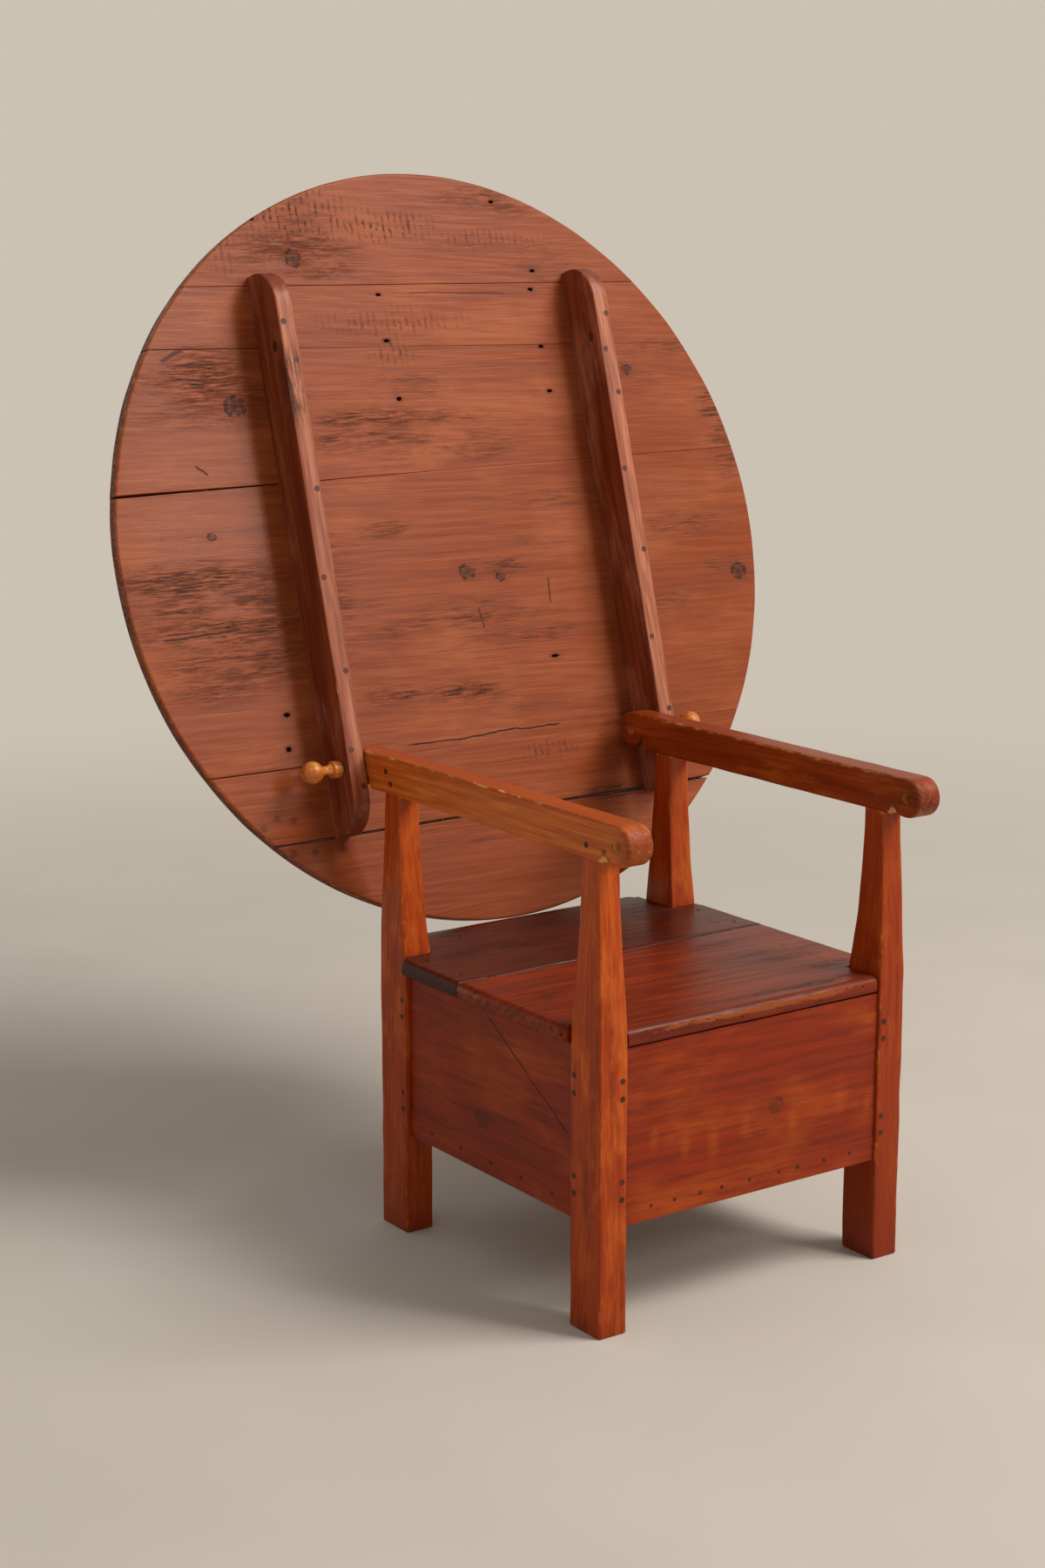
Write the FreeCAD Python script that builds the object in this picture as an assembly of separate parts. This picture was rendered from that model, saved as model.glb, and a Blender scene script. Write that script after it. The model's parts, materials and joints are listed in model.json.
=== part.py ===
import FreeCAD
import Part
import math
import os
from FreeCAD import Vector

# A chair table: an armchair on a boxed base whose round back tips forward on two
# wooden pins and becomes a table top. Lengths are in millimetres.
# X runs left to right, the chair faces -Y, Z is up and the floor is at zero.
# "left" and "right" are the sitter's own sides, so right is -X.

# Base frame
base_width = 544.0
base_depth = 546.0
leg_width = 46.0
leg_depth = 68.0
leg_top_width = 35.0
leg_top_depth = 38.0
leg_lean_x = 4.0
leg_lean_y = 13.0
leg_corner = 3.0
flare_height = 85.0
flare_share = 0.62
taper_start_gap = 2.0

# Arms
arm_underside = 665.0
arm_height = 56.0
arm_width = 41.0
arm_overhang = 2.0
arm_edge = 4.0
eye_ahead_of_leg = 33.0
eye_behind_leg = 52.0
nick_height = 19.0
nick_mouth = 9.0
arm_tenon_thickness = 15.0
arm_tenon_shoulder = 3.0
arm_tenon_height = 44.0
arm_peg_length = 36.0
front_arm_peg_shares = ((0.0, 0.42),)
rear_arm_peg_shares = ((-0.15, 0.38), (0.24, 0.76))

# Pivot pins and the matching lock bores
bore_radius = 8.0
pin_clearance = 0.25
pin_end_set_back = 4.0
collar_length = 17.0
collar_radius = 13.0
collar_round = 3.0
collar_clearance = 0.35
neck_length = 16.0
neck_radius = 7.2
ball_radius = 17.0

# Boxed base
panel_thickness = 22.0
panel_bottom = 151.5
panel_edge = 1.5
front_set_back = 5.0
side_set_back = 8.0
tenon_length = 24.0
tenon_thickness = 11.0
tenon_height = 60.0
tenon_from_edge = 54.5
mortise_end_gap = 0.4
peg_radius = 4.0
peg_length = 34.0
peg_proud = 0.5
peg_edge = 8.8
peg_spacing = 25.0
peg_clearance = 0.1
bottom_thickness = 18.0
bottom_lift = 11.5
bottom_gap = 1.0
bottom_board_count = 3

# Nails
nail_head_radius = 2.6
nail_head_thickness = 1.4
nail_head_proud = 0.5
nail_shank_radius = 1.3
nail_length = 44.0
nail_clearance = 0.05
long_nail_shares = (-0.80, -0.62, -0.42, -0.25, -0.03, 0.21, 0.36, 0.58, 0.80)
side_nail_shares = (-0.74, -0.38, -0.02, 0.36, 0.72)

# Seat
seat_top = 428.0
seat_thickness = 25.5
seat_side_overhang = 12.0
seat_rear_overhang = 36.0
seat_front_set_back = 3.0
seat_seam = 52.0
seam_gap = 1.6
seam_ease = 5.0
seat_round_top = 10.5
seat_round_bottom = 8.5
wing_corner = 11.0
tongue_corner = 17.0
fixed_board_clearance = 1.0
lid_clearance = 3.0
seat_side_nail_shares = (0.22, 0.80)
seat_back_nail_shares = (-0.62, 0.02, 0.64)

# Lid hinges
hinge_from_end = 88.0
leaf_length = 64.0
leaf_height = 17.0
leaf_thickness = 1.8
barrel_radius = 3.4
barrel_drop = 0.1
hinge_pin_radius = 1.5
hinge_pin_clearance = 0.1
knuckle_count = 5
knuckle_gap = 0.4
hinge_clearance = 0.4
leaf_screw_count = 3
leaf_screw_spacing = 21.0
leaf_screw_drop = 10.5
leaf_screw_head_radius = 2.6
leaf_screw_head_depth = 1.2
leaf_screw_radius = 1.3
leaf_screw_length = 15.0

# Round top
top_diameter = 1170.0
top_thickness = 22.5
top_round_under = 4.0
top_round_upper = 6.0
underside_above_pivot = 48.0
lean_angle = 15.8
rest_gap = 0.4
seam_shares = (0.700, 0.533, 0.199, -0.533, -0.716)
slant_shares = (-0.004, -0.015, 0.016, 0.0, 0.010)
tight_seam = 1.0
open_seam = 2.4
gaping_seam = 4.0
table_face_seam = 0.4
right_seam_widths = (tight_seam, tight_seam, gaping_seam, tight_seam, open_seam)
left_seam_widths = (tight_seam, tight_seam, tight_seam, tight_seam, gaping_seam)
dowel_radius = 4.0
dowel_length = 56.0
dowel_end_gap = 0.5
dowel_shares = (-0.74, -0.26, 0.24, 0.72)

# Battens under the top
batten_gap = 2.5
batten_thickness = 28.0
batten_depth = 73.5
batten_length = 848.0
batten_tail = 100.4
batten_end_radius = 58.0
batten_edge = 2.5
plug_radius = 4.5
plug_length = 12.0
plug_proud = 0.3
batten_screw_radius = 2.4
batten_screw_bite = 14.0
plug_shares = (-0.835, -0.705, -0.43, -0.10, 0.21, 0.50, 0.665, 0.80)
plug_stagger = 6.0

# One overrun serves every cut, and one tolerance serves for finding an edge by its place
overrun = 5.0
edge_tolerance = 0.015

# Derived places
half_width = base_width / 2
half_depth = base_depth / 2
leg_inner_x = half_width - leg_width
leg_inner_y = half_depth - leg_depth
taper_start = seat_top + taper_start_gap
knuckle_radius = arm_height / 2
pivot_height = arm_underside + knuckle_radius
arm_top = arm_underside + arm_height
front_eye_y = -half_depth - eye_ahead_of_leg
rear_eye_y = half_depth + eye_behind_leg
arm_outer_x = half_width + arm_overhang
arm_inner_x = arm_outer_x - arm_width
pin_radius = bore_radius - pin_clearance
batten_inner_x = arm_outer_x + batten_gap
batten_outer_x = batten_inner_x + batten_thickness
panel_top = seat_top - seat_thickness
front_panel_y = half_depth - front_set_back
side_panel_x = half_width - side_set_back
box_inner_x = side_panel_x - panel_thickness
box_inner_y = front_panel_y - panel_thickness
bottom_low = panel_bottom + bottom_lift
bottom_high = bottom_low + bottom_thickness
bottom_middle = bottom_low + bottom_thickness / 2
seat_half_width = half_width + seat_side_overhang
seat_rear_y = half_depth + seat_rear_overhang
seat_front_y = -half_depth + seat_front_set_back
hinge_axis_z = seat_top - barrel_radius - barrel_drop
hinge_x = seat_half_width - hinge_from_end
top_radius = top_diameter / 2
lean = math.radians(lean_angle)
underside = pivot_height + underside_above_pivot
# The lowest point of the leaning top stands just above the seat's back edge.
rim_drop = (pivot_height - underside_above_pivot * math.sin(lean) - seat_top - rest_gap) / math.cos(lean)
top_offset = top_radius - rim_drop
top_centre_y = rear_eye_y - top_offset
batten_near_y = rear_eye_y + batten_tail
batten_far_y = batten_near_y - batten_length
# The origin is the middle of the whole outline, seen from above, on the floor.
back_reach_y = (rear_eye_y
                + (underside_above_pivot + top_thickness - top_round_upper) * math.cos(lean)
                + (top_offset + top_radius - top_round_upper) * math.sin(lean)
                + top_round_upper)
front_reach_y = front_eye_y - knuckle_radius
origin_shift = Vector(0, -(back_reach_y + front_reach_y) / 2, 0)

axis_x = Vector(1, 0, 0)
axis_y = Vector(0, 1, 0)
axis_z = Vector(0, 0, 1)
base_centre = Vector(0, 0, 0)


def box(x0, x1, y0, y1, z0, z1):
    """A block between two corners."""
    low = Vector(min(x0, x1), min(y0, y1), min(z0, z1))
    return Part.makeBox(abs(x1 - x0), abs(y1 - y0), abs(z1 - z0), low)


def rod(radius, start, end):
    """A round rod from one point to another."""
    run = end.sub(start)
    return Part.makeCylinder(radius, run.Length, start, run)


def arc(start, middle, end):
    """An arc through three points."""
    return Part.Arc(start, middle, end).toShape()


def flipped(shape, normal):
    """The mirror image of a shape across the middle of the base."""
    return shape.mirror(base_centre, normal)


def grouped(solids):
    """Separate solids kept together in one node."""
    return Part.makeCompound(solids)


def cut_all(shape, tools):
    """A shape with a list of tools cut out of it."""
    return shape.cut(tools).removeSplitter()


def slab(points, z0, z1):
    """A flat board from an outline in X and Y."""
    corners = [Vector(x, y, z0) for x, y in points]
    face = Part.Face(Part.makePolygon(corners + corners[:1]))
    return face.extrude(Vector(0, 0, z1 - z0))


def edges_where(shape, test):
    """The edges whose every point passes a test."""
    found = []
    for edge in shape.Edges:
        ends = [edge.valueAt(edge.FirstParameter), edge.valueAt(edge.LastParameter)]
        ends.append(edge.valueAt((edge.FirstParameter + edge.LastParameter) / 2))
        if all(test(point) for point in ends):
            found.append(edge)
    return found


def near(a, b):
    """Whether two places are the same for picking an edge."""
    return abs(a - b) < edge_tolerance


def rounded_outline(x0, x1, y0, y1, z):
    """A rectangle at one height with small round corners."""
    r = leg_corner
    half = r * (1 - math.sqrt(0.5))
    lines = [
        (Vector(x0 + r, y0, z), Vector(x1 - r, y0, z)),
        (Vector(x1, y0 + r, z), Vector(x1, y1 - r, z)),
        (Vector(x1 - r, y1, z), Vector(x0 + r, y1, z)),
        (Vector(x0, y1 - r, z), Vector(x0, y0 + r, z)),
    ]
    middles = [
        Vector(x1 - half, y0 + half, z),
        Vector(x1 - half, y1 - half, z),
        Vector(x0 + half, y1 - half, z),
        Vector(x0 + half, y0 + half, z),
    ]
    edges = []
    for index, (start, end) in enumerate(lines):
        following = lines[(index + 1) % len(lines)][0]
        edges.append(Part.makeLine(start, end))
        edges.append(arc(end, middles[index], following))
    return Part.Wire(edges)


# Tenons of the panels, all for the corner at +X, +Y
tenon_middles = (panel_bottom + tenon_from_edge, panel_top - tenon_from_edge)


def long_tenons(extra):
    """Tenons at the +X end of the back panel, with extra room at their ends."""
    middle_y = front_panel_y - panel_thickness / 2
    half = tenon_thickness / 2
    return [box(leg_inner_x, leg_inner_x + tenon_length + extra, middle_y - half, middle_y + half,
                z - tenon_height / 2, z + tenon_height / 2) for z in tenon_middles]


def side_tenons(extra):
    """Tenons at the +Y end of the left side panel, with extra room at their ends."""
    middle_x = side_panel_x - panel_thickness / 2
    half = tenon_thickness / 2
    return [box(middle_x - half, middle_x + half, leg_inner_y, leg_inner_y + tenon_length + extra,
                z - tenon_height / 2, z + tenon_height / 2) for z in tenon_middles]


def peg_heights():
    """Heights of the four pegs at one end of a panel."""
    return [z + side * peg_spacing / 2 for z in tenon_middles for side in (-1, 1)]


def long_pegs(radius):
    """Pegs through the back panel's tenons at its +X end."""
    x = leg_inner_x + peg_edge
    return [rod(radius, Vector(x, half_depth + peg_proud, z), Vector(x, half_depth - peg_length, z))
            for z in peg_heights()]


def side_pegs(radius):
    """Pegs through the left side panel's tenons at its +Y end."""
    y = leg_inner_y + peg_edge
    return [rod(radius, Vector(half_width + peg_proud, y, z), Vector(half_width - peg_length, y, z))
            for z in peg_heights()]


# Leg tops and their tenons into the arms, for the corner at +X, +Y
leg_top_x = (half_width - leg_lean_x - leg_top_width, half_width - leg_lean_x)
leg_top_y = (half_depth - leg_lean_y - leg_top_depth, half_depth - leg_lean_y)
arm_tenon_x = (arm_inner_x + arm_outer_x) / 2
arm_tenon_y = (leg_top_y[0] + leg_top_y[1]) / 2
arm_tenon_depth = leg_top_depth - 2 * arm_tenon_shoulder


def arm_tenon(extra):
    """The tenon on top of a leg, with extra room at its end."""
    half = arm_tenon_thickness / 2
    return box(arm_tenon_x - half, arm_tenon_x + half,
               arm_tenon_y - arm_tenon_depth / 2, arm_tenon_y + arm_tenon_depth / 2,
               arm_underside, arm_underside + arm_tenon_height + extra)


def arm_pegs(radius, shares):
    """Pegs from the arm's outer face through a leg's tenon, at shares of the tenon."""
    pegs = []
    for along, up in shares:
        y = arm_tenon_y + along * arm_tenon_depth
        z = arm_underside + up * arm_tenon_height
        outer_end = Vector(arm_outer_x + peg_proud, y, z)
        pegs.append(rod(radius, outer_end, Vector(arm_outer_x - arm_peg_length, y, z)))
    return pegs


def make_leg(peg_shares):
    """One leg for the corner at +X, +Y: square below the seat, tapered above it."""
    flare_z = taper_start + flare_height
    rise_share = flare_height / (arm_underside - taper_start)
    inner_x = leg_inner_x + flare_share * (leg_top_x[0] - leg_inner_x)
    inner_y = leg_inner_y + flare_share * (leg_top_y[0] - leg_inner_y)
    outer_x = half_width - rise_share * leg_lean_x
    outer_y = half_depth - rise_share * leg_lean_y
    foot = rounded_outline(leg_inner_x, half_width, leg_inner_y, half_depth, 0)
    lower = Part.Face(foot).extrude(Vector(0, 0, taper_start))
    sections = [
        rounded_outline(leg_inner_x, half_width, leg_inner_y, half_depth, taper_start),
        rounded_outline(inner_x, outer_x, inner_y, outer_y, flare_z),
        rounded_outline(leg_top_x[0], leg_top_x[1], leg_top_y[0], leg_top_y[1], arm_underside),
    ]
    upper = Part.makeLoft(sections, True, False)
    leg = lower.fuse([upper, arm_tenon(0)])
    holes = long_tenons(mortise_end_gap) + side_tenons(mortise_end_gap)
    holes += long_pegs(peg_radius + peg_clearance) + side_pegs(peg_radius + peg_clearance)
    holes += arm_pegs(peg_radius + peg_clearance, peg_shares)
    return cut_all(leg, holes)


def knuckle_point(eye_y, toward, angle):
    """A point on an arm's round end; toward is +1 for the rear end, -1 for the front."""
    return Vector(0, eye_y + toward * knuckle_radius * math.sin(angle),
                  pivot_height + knuckle_radius * math.cos(angle))


def arm_nick(eye_y, toward):
    """The small wedge cut up behind an arm's round end."""
    apex_angle = math.pi + math.acos(1 - nick_height / knuckle_radius)
    low = knuckle_point(eye_y, toward, math.pi)
    middle = knuckle_point(eye_y, toward, (math.pi + apex_angle) / 2)
    apex = knuckle_point(eye_y, toward, apex_angle)
    mouth = Vector(0, apex.y - toward * nick_mouth, arm_underside)
    below = Vector(0, 0, -overrun)
    edges = [
        arc(low, middle, apex),
        Part.makeLine(apex, mouth),
        Part.makeLine(mouth, mouth.add(below)),
        Part.makeLine(mouth.add(below), low.add(below)),
        Part.makeLine(low.add(below), low),
    ]
    wedge = Part.Face(Part.Wire(edges)).extrude(Vector(arm_width + 2 * overrun, 0, 0))
    wedge.translate(Vector(arm_inner_x - overrun, 0, 0))
    return wedge


def make_arm():
    """The left arm: a rail with round ends, a nick under each end and an eye in each end."""
    ends = []
    for eye_y, toward in ((front_eye_y, -1), (rear_eye_y, 1)):
        ends.append([knuckle_point(eye_y, toward, share * math.pi) for share in (0, 0.5, 1)])
    front, rear = ends
    outline = Part.Wire([
        Part.makeLine(front[0], rear[0]),
        arc(*rear),
        Part.makeLine(rear[2], front[2]),
        arc(*reversed(front)),
    ])
    arm = Part.Face(outline).extrude(Vector(arm_width, 0, 0))
    arm.translate(Vector(arm_inner_x, 0, 0))
    sides = (arm_inner_x, arm_outer_x)
    rims = [edge for x in sides for edge in edges_where(arm, lambda p: near(p.x, x))]
    arm = arm.makeFillet(arm_edge, rims)
    holes = [arm_nick(front_eye_y, -1), arm_nick(rear_eye_y, 1)]
    holes += [flipped(arm_tenon(mortise_end_gap), axis_y), arm_tenon(mortise_end_gap)]
    holes += arm_pegs(peg_radius + peg_clearance, rear_arm_peg_shares)
    holes += [flipped(peg, axis_y) for peg in arm_pegs(peg_radius + peg_clearance, front_arm_peg_shares)]
    for eye_y in (front_eye_y, rear_eye_y):
        holes.append(rod(bore_radius, Vector(arm_inner_x - overrun, eye_y, pivot_height),
                         Vector(arm_outer_x + overrun, eye_y, pivot_height)))
    return cut_all(arm, holes)


def make_pin():
    """The left pivot pin: a plain shaft with a turned collar, neck and ball."""
    inner = arm_inner_x + pin_end_set_back
    seat_x = batten_outer_x + collar_clearance
    collar_end = seat_x + collar_length
    ball_x = collar_end + neck_length + ball_radius * math.sqrt(0.75)
    neck_x = collar_end + neck_length / 2
    join_x = collar_end + neck_length
    join_r = ball_radius / 2
    low_r = collar_radius - collar_round
    turn = collar_round * math.sqrt(0.5)
    rim_start = seat_x + collar_round
    rim_end = collar_end - collar_round

    def at(x, r):
        return Vector(x, 0, r)

    edges = [
        Part.makeLine(at(inner, 0), at(inner, pin_radius)),
        Part.makeLine(at(inner, pin_radius), at(seat_x, pin_radius)),
        Part.makeLine(at(seat_x, pin_radius), at(seat_x, low_r)),
        arc(at(seat_x, low_r), at(rim_start - turn, low_r + turn), at(rim_start, collar_radius)),
        Part.makeLine(at(rim_start, collar_radius), at(rim_end, collar_radius)),
        arc(at(rim_end, collar_radius), at(rim_end + turn, low_r + turn), at(collar_end, low_r)),
        arc(at(collar_end, low_r), at(neck_x, neck_radius), at(join_x, join_r)),
        arc(at(join_x, join_r), at(ball_x, ball_radius), at(ball_x + ball_radius, 0)),
        Part.makeLine(at(ball_x + ball_radius, 0), at(inner, 0)),
    ]
    pin = Part.Face(Part.Wire(edges)).revolve(base_centre, axis_x, 360)
    pin.translate(Vector(0, rear_eye_y, pivot_height))
    return pin


def nail(start, direction):
    """A headed nail whose head stands a little proud of start."""
    head_start = start.sub(direction * nail_head_proud)
    head_end = head_start.add(direction * nail_head_thickness)
    head = rod(nail_head_radius, head_start, head_end)
    return head.fuse(rod(nail_shank_radius, head_end, start.add(direction * nail_length))).removeSplitter()


def nail_hole(start, direction):
    """The hole that a nail fills, with a hair of room."""
    head_end = start.add(direction * (nail_head_thickness - nail_head_proud))
    head = rod(nail_head_radius + nail_clearance, start.sub(direction * nail_head_proud), head_end)
    tip = start.add(direction * (nail_length + nail_clearance))
    return head.fuse(rod(nail_shank_radius + nail_clearance, head_end, tip))


def bottom_nail_places():
    """Start points and directions of the nails that hold the box bottom."""
    places = []
    for side in (-1, 1):
        for share in long_nail_shares:
            start = Vector(share * leg_inner_x, side * front_panel_y, bottom_middle)
            places.append((start, axis_y * -side))
        for share in side_nail_shares:
            start = Vector(side * side_panel_x, share * leg_inner_y, bottom_middle)
            places.append((start, axis_x * -side))
    return places


def seat_nail_places():
    """Start points of the nails that hold the fixed seat board to the box."""
    side_x = side_panel_x - panel_thickness / 2
    back_y = front_panel_y - panel_thickness / 2
    places = []
    for share in seat_side_nail_shares:
        y = seat_seam + share * (leg_inner_y - seat_seam)
        places += [Vector(-side_x, y, seat_top), Vector(side_x, y, seat_top)]
    places += [Vector(share * leg_inner_x, back_y, seat_top) for share in seat_back_nail_shares]
    return [(place, axis_z * -1) for place in places]


bottom_nails = bottom_nail_places()
seat_nails = seat_nail_places()
bottom_nail_holes = [nail_hole(*place) for place in bottom_nails]
seat_nail_holes = [nail_hole(*place) for place in seat_nails]


def make_back_panel():
    """The back panel with two tenons at each end."""
    panel = box(-leg_inner_x, leg_inner_x, box_inner_y, front_panel_y, panel_bottom, panel_top)
    foot = edges_where(panel, lambda p: near(p.z, panel_bottom) and near(p.y, front_panel_y))
    panel = panel.makeFillet(panel_edge, foot)
    ends = long_tenons(0)
    ends += [flipped(tenon, axis_x) for tenon in ends]
    pegs = long_pegs(peg_radius + peg_clearance)
    pegs += [flipped(peg, axis_x) for peg in pegs]
    return cut_all(panel.fuse(ends), pegs)


def make_side_panel():
    """The left side panel with two tenons at each end."""
    panel = box(box_inner_x, side_panel_x, -leg_inner_y, leg_inner_y, panel_bottom, panel_top)
    foot = edges_where(panel, lambda p: near(p.z, panel_bottom) and near(p.x, side_panel_x))
    panel = panel.makeFillet(panel_edge, foot)
    ends = side_tenons(0)
    ends += [flipped(tenon, axis_y) for tenon in ends]
    pegs = side_pegs(peg_radius + peg_clearance)
    pegs += [flipped(peg, axis_y) for peg in pegs]
    return cut_all(panel.fuse(ends), pegs)


def make_bottom_boards():
    """The box bottom: boards side by side, notched round the legs."""
    corners = []
    for side_x in (-1, 1):
        for side_y in (-1, 1):
            corners.append(box(side_x * (leg_inner_x - fixed_board_clearance), side_x * half_width,
                               side_y * (leg_inner_y - fixed_board_clearance), side_y * half_depth,
                               bottom_low - overrun, bottom_high + overrun))
    width = (2 * box_inner_y - (bottom_board_count - 1) * bottom_gap) / bottom_board_count
    boards = []
    for index in range(bottom_board_count):
        y0 = -box_inner_y + index * (width + bottom_gap)
        board = box(-box_inner_x, box_inner_x, y0, y0 + width, bottom_low, bottom_high)
        boards.append(cut_all(board, corners + bottom_nail_holes))
    return boards


def bullnose(board, test):
    """Round the top and bottom edges of a board along the places that pass a test."""
    top_edges = edges_where(board, lambda p: near(p.z, seat_top) and test(p))
    board = board.makeFillet(seat_round_top, top_edges)
    low_edges = edges_where(board, lambda p: near(p.z, panel_top) and test(p))
    return board.makeFillet(seat_round_bottom, low_edges)


def ease_seam(board, y):
    """Round the upper edge of a board along the seam between the two seat boards."""
    return board.makeFillet(seam_ease, edges_where(board, lambda p: near(p.y, y) and near(p.z, seat_top)))


def upright_edges(board, places):
    """The upright corner edges of a board at some X and Y places."""
    return [edge for x, y in places for edge in edges_where(board, lambda p: near(p.x, x) and near(p.y, y))]


def seat_board(seam_y, wing_y, tongue_x, end_y):
    """A seat board with a wing at each side and a tongue between two legs."""
    half = [(seat_half_width, seam_y), (seat_half_width, wing_y), (tongue_x, wing_y), (tongue_x, end_y)]
    board = slab(half + [(-x, y) for x, y in reversed(half)], panel_top, seat_top)
    wings = [(side * seat_half_width, wing_y) for side in (-1, 1)]
    board = board.makeFillet(wing_corner, upright_edges(board, wings))
    side_x = seat_half_width - wing_corner + edge_tolerance
    return bullnose(board, lambda p: abs(p.x) > side_x)


def make_rear_board():
    """The fixed seat board, notched round the rear legs, with a tongue behind them."""
    seam_y = seat_seam + seam_gap / 2
    tongue_x = leg_inner_x - fixed_board_clearance
    board = seat_board(seam_y, leg_inner_y - fixed_board_clearance, tongue_x, seat_rear_y)
    tongues = [(side * tongue_x, seat_rear_y) for side in (-1, 1)]
    board = board.makeFillet(tongue_corner, upright_edges(board, tongues))
    start_y = seat_rear_y - tongue_corner - edge_tolerance
    inside_x = tongue_x - edge_tolerance
    board = bullnose(board, lambda p: p.y > start_y and abs(p.x) < inside_x)
    return ease_seam(board, seam_y)


def make_lid():
    """The lifting seat board, notched to clear the front legs."""
    seam_y = seat_seam - seam_gap / 2
    board = seat_board(seam_y, lid_clearance - leg_inner_y, leg_inner_x - lid_clearance, seat_front_y)
    board = bullnose(board, lambda p: near(p.y, seat_front_y))
    return ease_seam(board, seam_y)


# Hinges, each made at the left end of the seam and mirrored to the right
knuckle_length = (leaf_length - (knuckle_count - 1) * knuckle_gap) / knuckle_count


def hinge_line(x):
    """A point on the lid's hinge line."""
    return Vector(x, seat_seam, hinge_axis_z)


def hinge_recess(toward):
    """Room for a leaf and the barrel in a seat board; toward is +1 at the back, -1 in front."""
    x0 = hinge_x - leaf_length / 2 - hinge_clearance
    x1 = hinge_x + leaf_length / 2 + hinge_clearance
    face_y = seat_seam + toward * seam_gap / 2
    pocket = box(x0, x1, face_y - toward * seam_gap, face_y + toward * leaf_thickness,
                 hinge_axis_z - leaf_height, hinge_axis_z)
    groove = rod(barrel_radius + hinge_clearance, hinge_line(x0), hinge_line(x1))
    return pocket.fuse(groove)


def leaf_screw_places(toward):
    """Where the screws of a leaf start, on the leaf's face in the seam."""
    face_y = seat_seam + toward * seam_gap / 2
    first = hinge_x - (leaf_screw_count - 1) * leaf_screw_spacing / 2
    return [Vector(first + index * leaf_screw_spacing, face_y, hinge_axis_z - leaf_screw_drop)
            for index in range(leaf_screw_count)]


def leaf_screw(start, toward, room=0):
    """A screw with a sunk head, or its hole when room is more than zero."""
    along = axis_y * toward
    head_end = start.add(along * leaf_screw_head_depth)
    head = rod(leaf_screw_head_radius + room, start, head_end)
    shank = rod(leaf_screw_radius + room, head_end, start.add(along * (leaf_screw_length + room)))
    return head.fuse(shank).removeSplitter()


def leaf_screw_holes(toward):
    """The holes of a leaf's screws."""
    return [leaf_screw(start, toward, hinge_pin_clearance) for start in leaf_screw_places(toward)]


def make_leaf(toward):
    """A hinge leaf with its knuckles: three on the back leaf, two on the lid's."""
    face_y = seat_seam + toward * seam_gap / 2
    back_y = face_y + toward * leaf_thickness
    x0 = hinge_x - leaf_length / 2
    plate = box(x0, x0 + leaf_length, face_y, back_y, hinge_axis_z - leaf_height,
                hinge_axis_z - barrel_radius - hinge_clearance)
    pieces = []
    for index in range(knuckle_count):
        on_back_leaf = index % 2 == 0
        if on_back_leaf == (toward > 0):
            start = x0 + index * (knuckle_length + knuckle_gap)
            end = start + knuckle_length
            pieces.append(box(start, end, face_y, back_y, hinge_axis_z - leaf_height, hinge_axis_z))
            pieces.append(rod(barrel_radius, hinge_line(start), hinge_line(end)))
    pin_hole = rod(hinge_pin_radius + hinge_pin_clearance, hinge_line(x0 - overrun),
                   hinge_line(x0 + leaf_length + overrun))
    return cut_all(plate.fuse(pieces), [pin_hole] + leaf_screw_holes(toward))


def make_hinge_pin():
    """The pin of the left hinge, as long as its leaves."""
    reach = leaf_length / 2
    return rod(hinge_pin_radius, hinge_line(hinge_x - reach), hinge_line(hinge_x + reach))


def make_disc():
    """The whole round top, lying as a table."""
    centre = Vector(0, top_centre_y, underside)
    disc = Part.makeCylinder(top_radius, top_thickness, centre, axis_z)
    upper = underside + top_thickness
    for height, radius in ((upper, top_round_upper), (underside, top_round_under)):
        disc = disc.makeFillet(radius, edges_where(disc, lambda p: near(p.z, height)))
    return disc


def top_seam_y(number, x):
    """Where the middle of a seam of the top lies at some X: the seams slant a little."""
    return top_centre_y - seam_shares[number] * top_radius - slant_shares[number] * x


def top_seam_width(number, x, z):
    """How far a seam of the top stands open: wide on the underside, almost shut on the table face."""
    share = (x + top_radius) / top_diameter
    below = right_seam_widths[number] * (1 - share) + left_seam_widths[number] * share
    rise = (z - underside) / top_thickness
    return below * (1 - rise) + table_face_seam * rise


def top_seam_edge(number, side, z):
    """The edge of a board along a seam at some height; side is -1 or +1 along Y."""
    points = []
    for x in (-top_radius - overrun, top_radius + overrun):
        points.append(Vector(x, top_seam_y(number, x) + side * top_seam_width(number, x, z) / 2, z))
    return points


def board_strip(number):
    """The part of the top that one board takes up, counted from the far edge of the table."""
    reach = top_radius + overrun
    sections = []
    for z in (underside - overrun, underside + top_thickness + overrun):
        start = [Vector(x, top_centre_y - reach, z) for x in (-reach, reach)]
        stop = [Vector(x, top_centre_y + reach, z) for x in (-reach, reach)]
        if number > 0:
            start = top_seam_edge(number - 1, 1, z)
        if number < len(seam_shares):
            stop = top_seam_edge(number, -1, z)
        corners = start + stop[::-1]
        sections.append(Part.makePolygon(corners + corners[:1]))
    return Part.makeLoft(sections, True, True)


def seam_dowels(radius, extra):
    """Dowels across the seams of the top, with extra length at each end."""
    dowels = []
    middle_z = underside + top_thickness / 2
    for number, share in enumerate(seam_shares):
        half_chord = top_radius * math.sqrt(1 - share * share)
        reach = Vector(0, dowel_length / 2 + extra, 0)
        for place_share in dowel_shares:
            x = place_share * half_chord
            middle = Vector(x, top_seam_y(number, x), middle_z)
            dowels.append(rod(radius, middle.sub(reach), middle.add(reach)))
    return dowels


def plug_places():
    """X and Y of the plugged screws of the left batten."""
    middle_x = (batten_inner_x + batten_outer_x) / 2
    middle_y = (batten_near_y + batten_far_y) / 2
    places = []
    for index, share in enumerate(plug_shares):
        side = 1 if index % 2 else -1
        places.append((middle_x + side * plug_stagger, middle_y - share * batten_length / 2))
    return places


batten_low = underside - batten_depth


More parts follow.
